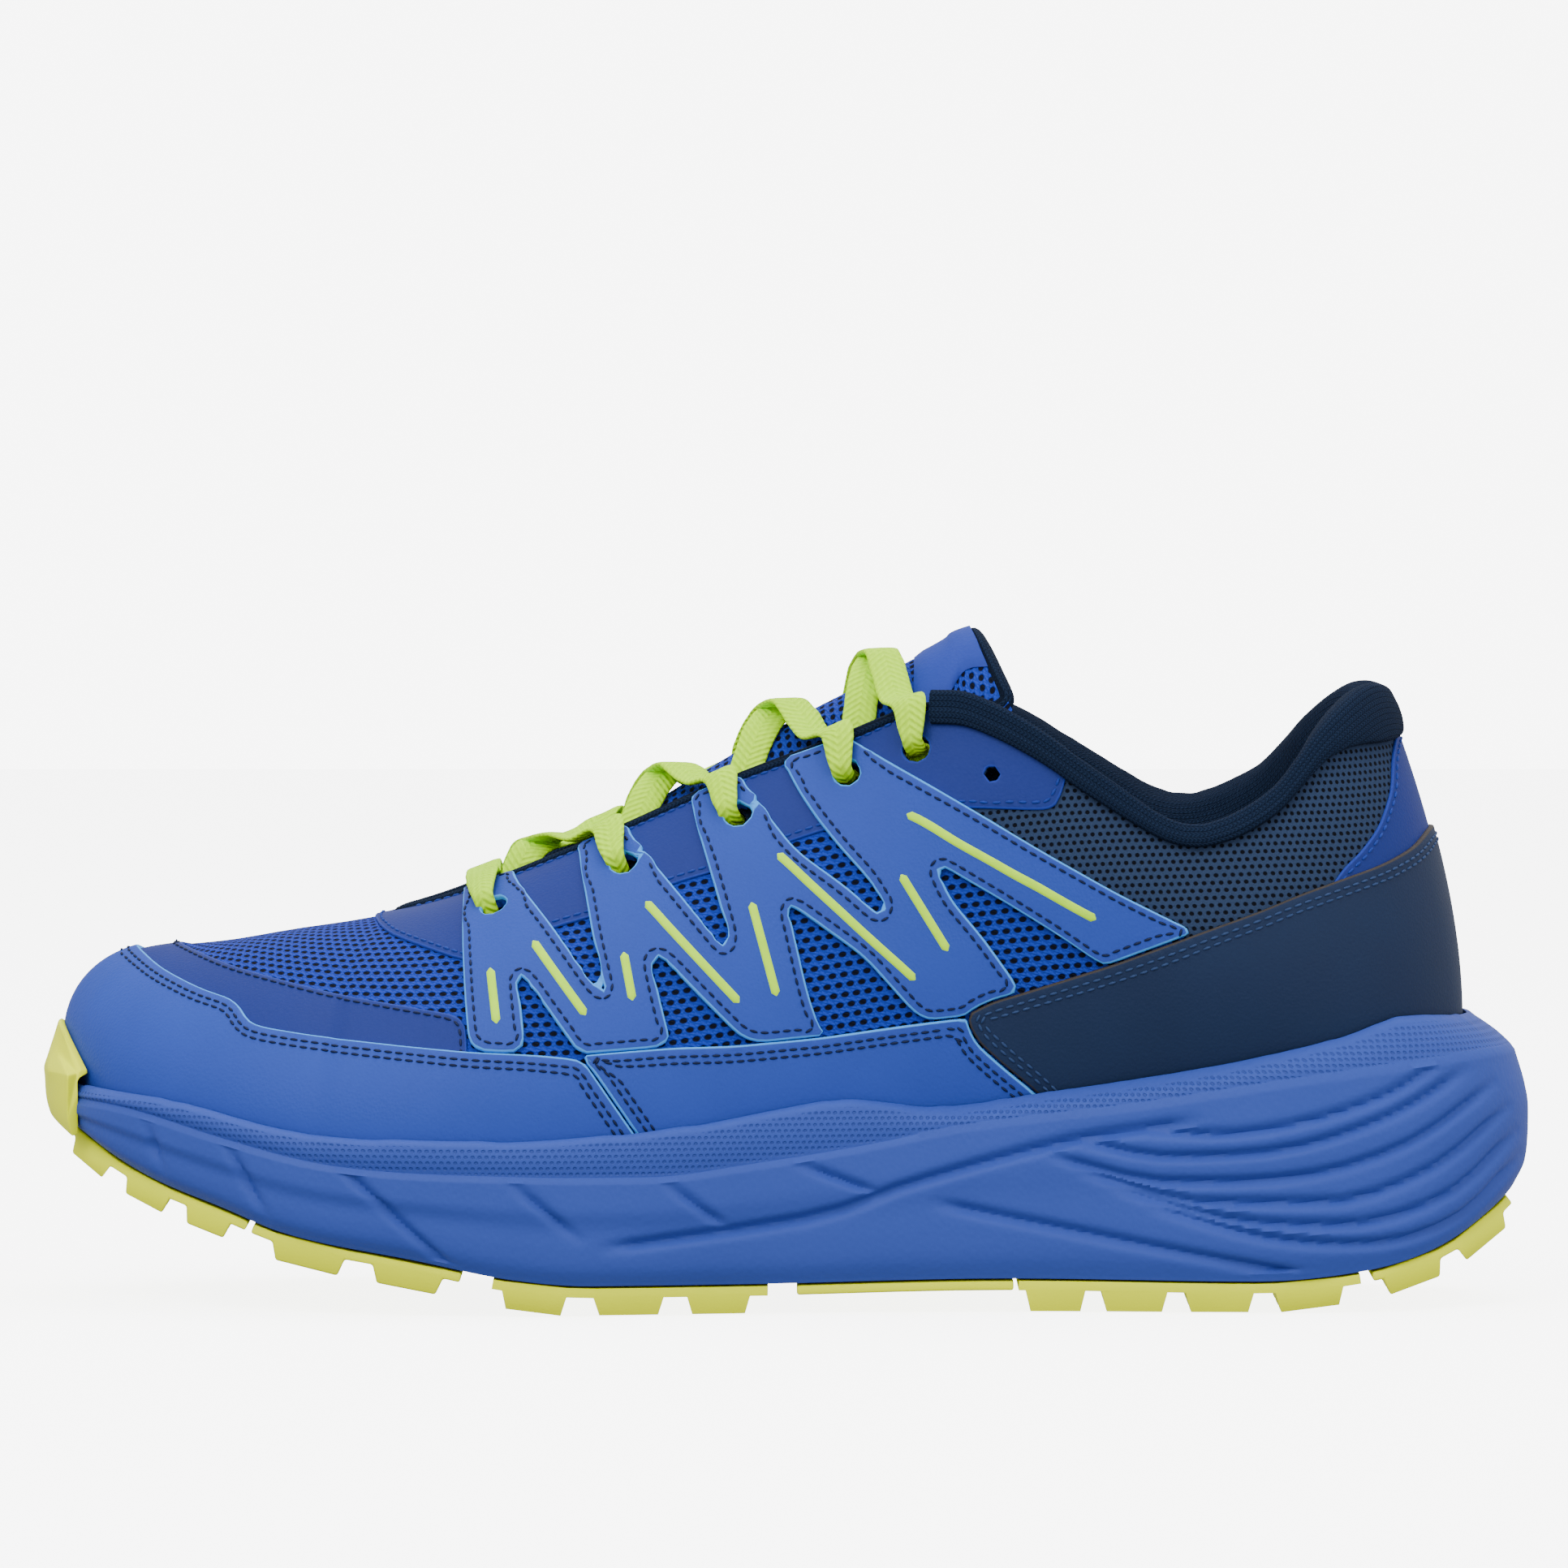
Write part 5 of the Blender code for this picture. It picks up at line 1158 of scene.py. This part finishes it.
def makeCollar():
    rings = []
    for i in np.arange(14, 34.01, 0.5):
        k = min(i * loopEnd / 48, loopEnd - i * loopEnd / 48)
        inner = float(along(collarSizes["inner"])(k))  # thickness of the pad
        top, n = onSkin(i, 7)
        over = unit(top - onSkin(i, 6)[0])
        flap = 6.72 - 0.5 * math.exp(-((abs(i - 24) - 1.2) / 1.3)**2)
        # up the outside, over the top line and down the inside
        outside = [(flap, 0.3), (flap, 1.7), (flap + 0.08, 2.15), ((flap + 7) / 2, 2.35), (6.95, 2.2)]
        inside = [(6.5, -inner * 0.93), (5.6, -inner - 0.2), (4.6, -inner), (3.8, -inner * 0.6 - 2.4),
                  (3.4, -4.9), (3.4, -3.6)]
        crest = [top + over * 2.3 + n * 1.6, top + over * 3.1 - n * 0.9,
                 top + over * 1.6 - n * (1.6 + 0.5 * inner) * 0.8]
        rings.append([onSkin(i, *p)[0] for p in outside] + crest + [onSkin(i, *p)[0] for p in inside])
    face = finer(finer(np.array(rings), 5), 5, axis=1)
    rows, columns = face.shape[:2]
    middle = face.mean(axis=1, keepdims=True)
    share = np.linspace(0, 1, columns)
    # the section is closed by a straight back from its last point to its first
    backing = face[:, -1:] * share[None, :, None] + face[:, :1] * np.linspace(1, 0, columns)[None, :, None]
    loop = np.concatenate([face, backing[:, ::-1][:, 3:-3:6]], axis=1)
    n = loop.shape[1]
    moved = puffed("collar", loop.reshape(-1, 3), tubeFaces(rows, n)).reshape(rows, n, 3)[:, :columns]
    hold = np.clip((share - 0.3) / 0.15, 0, 1) * np.clip((0.93 - share) / 0.15, 0, 1)
    face = face + moved * hold[None, :, None]
    normal = gridNormals(face, np.array([0, 0, 1.0]))
    # which way is out: away from the pad's middle
    if ((face - middle) * normal).sum() < 0:
        normal = -normal
    piece = slab("collarLining", face, face - normal * collarSizes["cloth"], navyKnit, "shoe", gridUv(face))
    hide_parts("collar_lining", "collar_foam")


makeCollar()
for side in (-1, 1):
    columns = np.linspace(6.1, 14.3, 60) if side < 0 else np.linspace(41.9, 33.7, 60)
    tops, normals = onSkin(columns, np.full(60, 7.0))
    name = "throatBinding" + ("Lateral" if side < 0 else "Medial")
    roll(name, tops - normals * 0.1, normals, 1.45, 1.25, navyKnit, "shoe")
print("collar")


def welded(node):
    # a CAD node's surface with its corners joined
    work = bmesh.new()
    work.from_mesh(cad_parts[node].data)
    bmesh.ops.remove_doubles(work, verts=work.verts, dist=1e-5)
    return work


laceSizes = {"clear": 1.0, "settle": 0.6, "spread": 1.15, "thick": 1.5, "step": 0.9, "around": 16,
    "ripple": 0.09,
             "above": 70}  # height from which the lace counts as outside the shoe


def laceRings():
    # middles, width axes and widths of the lace's rings, end to end
    work = welded("lace")
    work.verts.ensure_lookup_table()
    place = np.array([v.co for v in work.verts]) / mm
    near = [[e.other_vert(v).index for e in v.link_edges] for v in work.verts]

    def spread(start):
        seen, layers = set(start), [list(start)]
        while True:
            ahead = sorted({q for k in layers[-1] for q in near[k]} - seen)
            if not ahead:
                return layers
            seen |= set(ahead)
            layers.append(ahead)

    tip = spread([0])[-1][0]
    away = unit(place[[k for layer in spread([tip])[3:6] for k in layer]].mean(0) - place[tip])
    close = [k for k in range(len(place)) if np.linalg.norm(place[k] - place[tip]) < 7.5]
    first = sorted(close, key=lambda k: (place[k] - place[tip]) @ away)[:4]
    layers = spread(first)
    work.free()
    middles, axes, widths = [], [], []
    for layer in layers:
        if len(layer) != 4:
            continue
        four = place[layer]
        mate = 1 + int(np.argmin(np.linalg.norm(four[1:] - four[0], axis=1)))
        others = [k for k in (1, 2, 3) if k != mate]
        span = four[others].mean(0) - (four[0] + four[mate]) / 2
        width = np.linalg.norm(span)
        axis = span / width
        if axes and axis @ axes[-1] < 0:
            axis = -axis
        middles.append(four.mean(0))
        axes.append(axis)
        widths.append(width)
    print("lace rings", len(layers), "kept", len(middles))
    return np.array(middles), np.array(axes), np.array(widths)


def makeLace():
    middles, axes, widths = laceRings()
    at = lengthAlong(middles)
    # the crossings settle towards the tongue
    face, sink = tongueFace[0], np.zeros(len(middles))
    halfThroat = along([(x, w) for x, _, w, _, _ in upperShape["topLine"]])
    for k, p in enumerate(middles):
        near = face[np.hypot(face[:, 0] - p[0], face[:, 1] - p[1]) < 3.2]
        if p[2] > laceSizes["above"] and abs(p[1]) < 24 and len(near):
            over = p[2] - near[:, 2].max() - laceSizes["clear"]
            share = min(max((halfThroat(p[0]) - 2 - abs(p[1] - 2.0)) / 4, 0), 1)
            sink[k] = max(over, 0) * laceSizes["settle"] * share
    for _ in range(2):
        sink[1:-1] = (sink[:-2] + 2 * sink[1:-1] + sink[2:]) / 4
    middles[:, 2] -= sink
    path = Curve(at, middles)
    path.m = np.gradient(middles, at, axis=0)
    count = int(at[-1] / laceSizes["step"])
    stops = np.linspace(0, at[-1], count + 1)
    p = path(stops)
    tangent = unit(np.gradient(p, axis=0))
    side = smoothLine(np.stack([np.interp(stops, at, axes[:, k]) for k in range(3)], -1), 3)
    side = unit(side - tangent * (side * tangent).sum(1, keepdims=True))
    flat = np.cross(tangent, side)
    rng = np.random.default_rng(7)
    outside = (widths > 5.5) & (middles[:, 2] > laceSizes["above"])
    half = np.interp(stops, at, np.where(outside, widths * laceSizes["spread"], widths)) / 2
    half += np.convolve(rng.normal(0, laceSizes["ripple"], count + 1), np.ones(3) / 3, "same")
    deep = laceSizes["thick"] / 2 * np.clip(5.0 / (2 * half), 0.8, 1.35)
    angle = np.linspace(0, 2 * math.pi, laceSizes["around"], endpoint=False)
    ca, sa = np.cos(angle), np.sin(angle)
    across, up = np.sign(ca) * abs(ca)**0.62, np.sign(sa) * abs(sa)**0.75
    wide, tall = half[:, None] * across[None, :], deep[:, None] * up[None, :]
    rings = p[:, None] + side[:, None] * wide[..., None] + flat[:, None] * tall[..., None]
    faces = tubeFaces(count + 1, laceSizes["around"])
    piece = meshObject("laceWoven", rings.reshape(-1, 3), faces, laceWeave())
    mapUv(piece, np.stack([wide.ravel(), np.repeat(stops, laceSizes["around"])], -1))
    tidyNormals(piece, 80)
    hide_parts("lace")
    print("lace", round(float(at[-1])), "mm")


def laceWeave():
    # flat braid: slanted strands meeting in chevrons
    s = Shader("laceWeave", lime["bright"], 0.7)
    u, v, _ = s.split(s.uv())
    strand = (v * 4.2 + u.size() * 3.4).wave() * 0.5 + 0.5
    column = (u * 4.6).wave() * 0.5 + 0.5
    fuzz = s.noise(s.uv(), 2.5, 3.0)
    weave = strand * 0.7 + column * 0.3
    s.out("Base Color", s.blend(weave * 0.7 + fuzz * 0.3, lime["deep"], lime["bright"]))
    s.out("Roughness", fuzz * 0.15 + 0.65)
    s.bump(weave + fuzz * 0.25, 0.0004, 0.8)
    return s.material


makeLace()


def limeRubber():
    s = Shader("limeRubber", (0.78, 0.86, 0.02), 0.55)
    place = s.place()
    cloud, grain = s.noise(place, 55.0, 5.0), s.noise(place, 2200.0, 3.0)
    s.out("Base Color", s.blend(cloud, (0.74, 0.82, 0.0), (0.88, 0.94, 0.0)))
    s.out("Roughness", cloud * 0.2 + 0.45)
    s.bump(grain * 0.5 + cloud * 0.5, 0.00015, 0.6)
    return s.material


outsoleSizes = {"bevel": 0.45, "segments": 2}
rubber = limeRubber()
for name, node in (("toeLugs", "outsole_toe"), ("frontLugs", "outsole_forefoot_front"),
        ("rearLugs", "outsole_forefoot_rear"), ("archPlate", "outsole_arch_plate"),
                   ("heelLugs", "outsole_heel"), ("strikeLugs", "outsole_heel_strike"),
                   ("toeBumper", "outsole_toe_bumper")):
    work = welded(node)
    bmesh.ops.dissolve_limit(work, angle_limit=math.radians(1.0), verts=work.verts, edges=work.edges)
    data = bpy.data.meshes.new(name)
    work.to_mesh(data)
    work.free()
    data.materials.append(rubber)
    data.shade_smooth()
    piece = placed(name, data)
    bevel = piece.modifiers.new("bevel", "BEVEL")
    bevel.width, bevel.segments = outsoleSizes["bevel"] * mm, outsoleSizes["segments"]
    bevel.limit_method, bevel.angle_limit = "ANGLE", math.radians(28)
    if node == "outsole_toe_bumper":
        soft = piece.modifiers.new("soft", "SUBSURF")
        soft.levels = soft.render_levels = 2
    piece.data = finished(piece)
    piece.modifiers.clear()
    piece.data.name = name
    piece.data.set_sharp_from_angle(angle=math.radians(35))
    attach(piece, "shoe")
    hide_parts(node)
print("outsole")

stitchSizes = {"pitch": 2.2, "length": 1.75, "thick": 0.62, "offHoles": 5.6}


def stitchTree(material):
    # beads along every line, one for each stitch
    tree = bpy.data.node_groups.new("stitches", "GeometryNodeTree")
    face = tree.interface
    face.new_socket("Geometry", in_out="INPUT", socket_type="NodeSocketGeometry")
    for label in ("Pitch", "Length", "Thickness"):
        face.new_socket(label, in_out="INPUT", socket_type="NodeSocketFloat")
    face.new_socket("Geometry", in_out="OUTPUT", socket_type="NodeSocketGeometry")

    def node(kind, links=(), **settings):
        made = tree.nodes.new(kind)
        for key, value in settings.items():
            setattr(made, key, value)
        for socket, source in links:
            if isinstance(source, bpy.types.NodeSocket):
                tree.links.new(source, made.inputs[socket])
            else:
                made.inputs[socket].default_value = source
        return made

    given = node("NodeGroupInput")
    spaced = node("GeometryNodeResampleCurve",
        [("Curve", given.outputs["Geometry"]), ("Length", given.outputs["Pitch"])], mode="LENGTH")
    ball = node("GeometryNodeMeshUVSphere", [("Segments", 6), ("Rings", 4), ("Radius", 0.5)])
    sides = zip(range(3), [given.outputs[label] for label in ("Thickness", "Thickness", "Length")])
    size = node("ShaderNodeCombineXYZ", sides)
    bead = node("GeometryNodeTransform", [("Geometry", ball.outputs["Mesh"]), ("Scale", size.outputs[0])])
    tangent = node("GeometryNodeInputTangent")
    turn = node("FunctionNodeAlignRotationToVector", [("Vector", tangent.outputs[0])], axis="Z")
    laid = node("GeometryNodeInstanceOnPoints",
        [("Points", spaced.outputs["Curve"]), ("Instance", bead.outputs["Geometry"]),
        ("Rotation", turn.outputs[0])])
    real = node("GeometryNodeRealizeInstances", [("Geometry", laid.outputs["Instances"])])
    thread = node("GeometryNodeSetMaterial",
        [("Geometry", real.outputs["Geometry"]), ("Material", material)])
    smooth = node("GeometryNodeSetShadeSmooth", [("Geometry", thread.outputs["Geometry"])])
    tree.links.new(smooth.outputs["Geometry"], node("NodeGroupOutput").inputs["Geometry"])
    return tree


def threadShader(name, colour):
    s = Shader(name, colour, 0.55)
    twist = s.noise(s.place(), 1400.0, 2.0)
    dark, light = [tuple(min(1, c * share) for c in colour) for share in (0.7, 1.25)]
    s.out("Base Color", s.blend(twist, dark, light))
    s.bump(twist, 0.0001, 0.4)
    return s.material


def makeStitches():
    for thread, colour in (("navy", (0.002, 0.008, 0.045)), ("royal", (0.006, 0.03, 0.25)),
            ("slate", (0.018, 0.042, 0.12))):
        rings = np.array([skin.at(*hole[0])[0] for hole in holes])
        lines = []
        for p, kind in stitchLines:
            # no rows round the eyelets
            clear = np.linalg.norm(p[:, None] - rings[None], axis=2).min(1) > stitchSizes["offHoles"]
            for run in np.split(np.arange(len(p)), np.nonzero(np.diff(clear.astype(int)))[0] + 1):
                if kind == thread and clear[run[0]] and len(run) > 3:
                    lines.append(p[run])
        data = bpy.data.curves.new(thread + "Lines", "CURVE")
        data.dimensions = "3D"
        for p in lines:
            spline = data.splines.new("POLY")
            spline.points.add(len(p) - 1)
            spline.points.foreach_set("co", np.hstack([p * mm, np.ones((len(p), 1))]).ravel())
        guide = placed(thread + "Lines", data)
        tree = stitchTree(threadShader(thread + "Thread", colour))
        modifier = guide.modifiers.new("stitches", "NODES")
        modifier.node_group = tree
        for socket, value in zip([i for i in tree.interface.items_tree if i.in_out == "INPUT"][1:],
                ("pitch", "length", "thick")):
            modifier[socket.identifier] = stitchSizes[value] * mm
        made = finished(guide)
        piece = placed(thread + "Stitches", made)
        bpy.data.objects.remove(guide)
        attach(piece, "shoe")
        print(thread, "stitches", len(made.polygons))


makeStitches()


def dress(node, material):
    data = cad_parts[node].data
    data.materials.clear()
    data.materials.append(material)


def objectFabric(name, light, dark, pitch=1.1):
    # plain knit on a CAD node, in object space
    s = Shader(name, light, 0.9)
    x, y, _ = s.split(s.place())
    turns = 6283.0 / pitch  # radians for each metre
    weave = (x * turns).wave() * (y * turns).wave() * 0.5 + 0.5
    fuzz = s.noise(s.place(), 900.0, 3.0)
    s.out("Base Color", s.blend(weave * 0.5 + fuzz * 0.5, dark, light))
    s.bump(weave * 0.6 + fuzz * 0.6, 0.0003, 0.7)
    return s.material


navyTricot = objectFabric("navyTricot", (0.009, 0.02, 0.05), (0.003, 0.007, 0.02))
boardFelt = objectFabric("boardFelt", (0.72, 0.7, 0.64), (0.6, 0.58, 0.52), 0.7)
stiffSheet = objectFabric("stiffSheet", (0.66, 0.62, 0.52), (0.56, 0.52, 0.43), 1.6)
for node, material in (("vamp_lining", navyTricot), ("insole_cover", navyTricot), ("insole_foam", openFoam),
        ("strobel_board", boardFelt), ("toe_puff", stiffSheet),
                       ("heel_counter", stiffSheet), ("aglet_lateral", rubber), ("aglet_medial", rubber)):
    dress(node, material)
print("inside")

# camera and lights
cameraSizes = {"distance": 2.4, "elevation": 2.5, "look": (0.0, 0.0, 0.1028), "width": 0.3142}


def makeCamera():
    data = bpy.data.cameras.new("camera")
    camera = placed("camera", data)
    look, far, rise = Vector(cameraSizes["look"]), cameraSizes["distance"], math.radians(
        cameraSizes["elevation"])
    camera.location = look + Vector((0, -math.cos(rise) * far, math.sin(rise) * far))
    camera.rotation_euler = (look - camera.location).to_track_quat("-Z", "Y").to_euler()
    data.sensor_width = 36
    data.lens = 36 * far / cameraSizes["width"]
    bpy.context.scene.camera = camera


lightSizes = {"air": 1.25, "below": 0.6, "backdrop": 7.6, "floorGlow": 5.5,
              "lamps": [("key", (-0.5, -1.0, 1.1), 0.9, 16), ("fill", (1.0, -0.9, 0.6), 1.2, 6),
                        ("top", (0.1, 0.3, 1.4), 1.0, 12)]}


def makeLights():
    world = bpy.context.scene.world or bpy.data.worlds.new("world")
    bpy.context.scene.world = world
    world.use_nodes = True
    tree = world.node_tree
    air = tree.nodes["Background"]
    seen, mix, ray, way, height, fade = [tree.nodes.new("ShaderNode" + kind) for kind in (
        "Background", "MixShader", "LightPath", "TexCoord", "SeparateXYZ", "MapRange")]
    # the light comes from the air and fades below the shoe; the camera sees a brighter, even backdrop
    for socket, value in zip(fade.inputs[1:5], (-0.4, 0.3, lightSizes["below"], lightSizes["air"])):
        socket.default_value = value
    for node, strength in ((air, lightSizes["air"]), (seen, lightSizes["backdrop"])):
        node.inputs[0].default_value, node.inputs[1].default_value = (1, 1, 1, 1), strength
    for a, b in ((way.outputs["Generated"], height.inputs[0]), (height.outputs["Z"], fade.inputs[0]),
                 (fade.outputs[0], air.inputs[1]), (ray.outputs["Is Camera Ray"], mix.inputs[0]),
                 (air.outputs[0], mix.inputs[1]), (seen.outputs[0], mix.inputs[2]),
                 (mix.outputs[0], tree.nodes["World Output"].inputs[0])):
        tree.links.new(a, b)
    for name, place, size, power in lightSizes["lamps"]:
        data = bpy.data.lights.new(name, "AREA")
        data.size, data.energy = size, power
        lamp = placed(name, data)
        lamp.location = place
        lamp.rotation_euler = (Vector((0, 0, 0.05)) - lamp.location).to_track_quat("-Z", "Y").to_euler()


def makeFloor():
    glow = {"Emission_Color": (1, 1, 1, 1), "Emission_Strength": lightSizes["floorGlow"]}
    pale = Shader("paleFloor", (0.95, 0.95, 0.95), 0.8, 0.0, **glow).material
    corners = [(2500 * x, 2500 * y, -0.3) for x, y in ((-1, -1), (1, -1), (1, 1), (-1, 1))]
    floor = meshObject("floor", corners, [(0, 1, 2, 3)], pale, None)
    floor.visible_diffuse = floor.visible_glossy = False


makeCamera()
makeLights()
makeFloor()
print("stage")
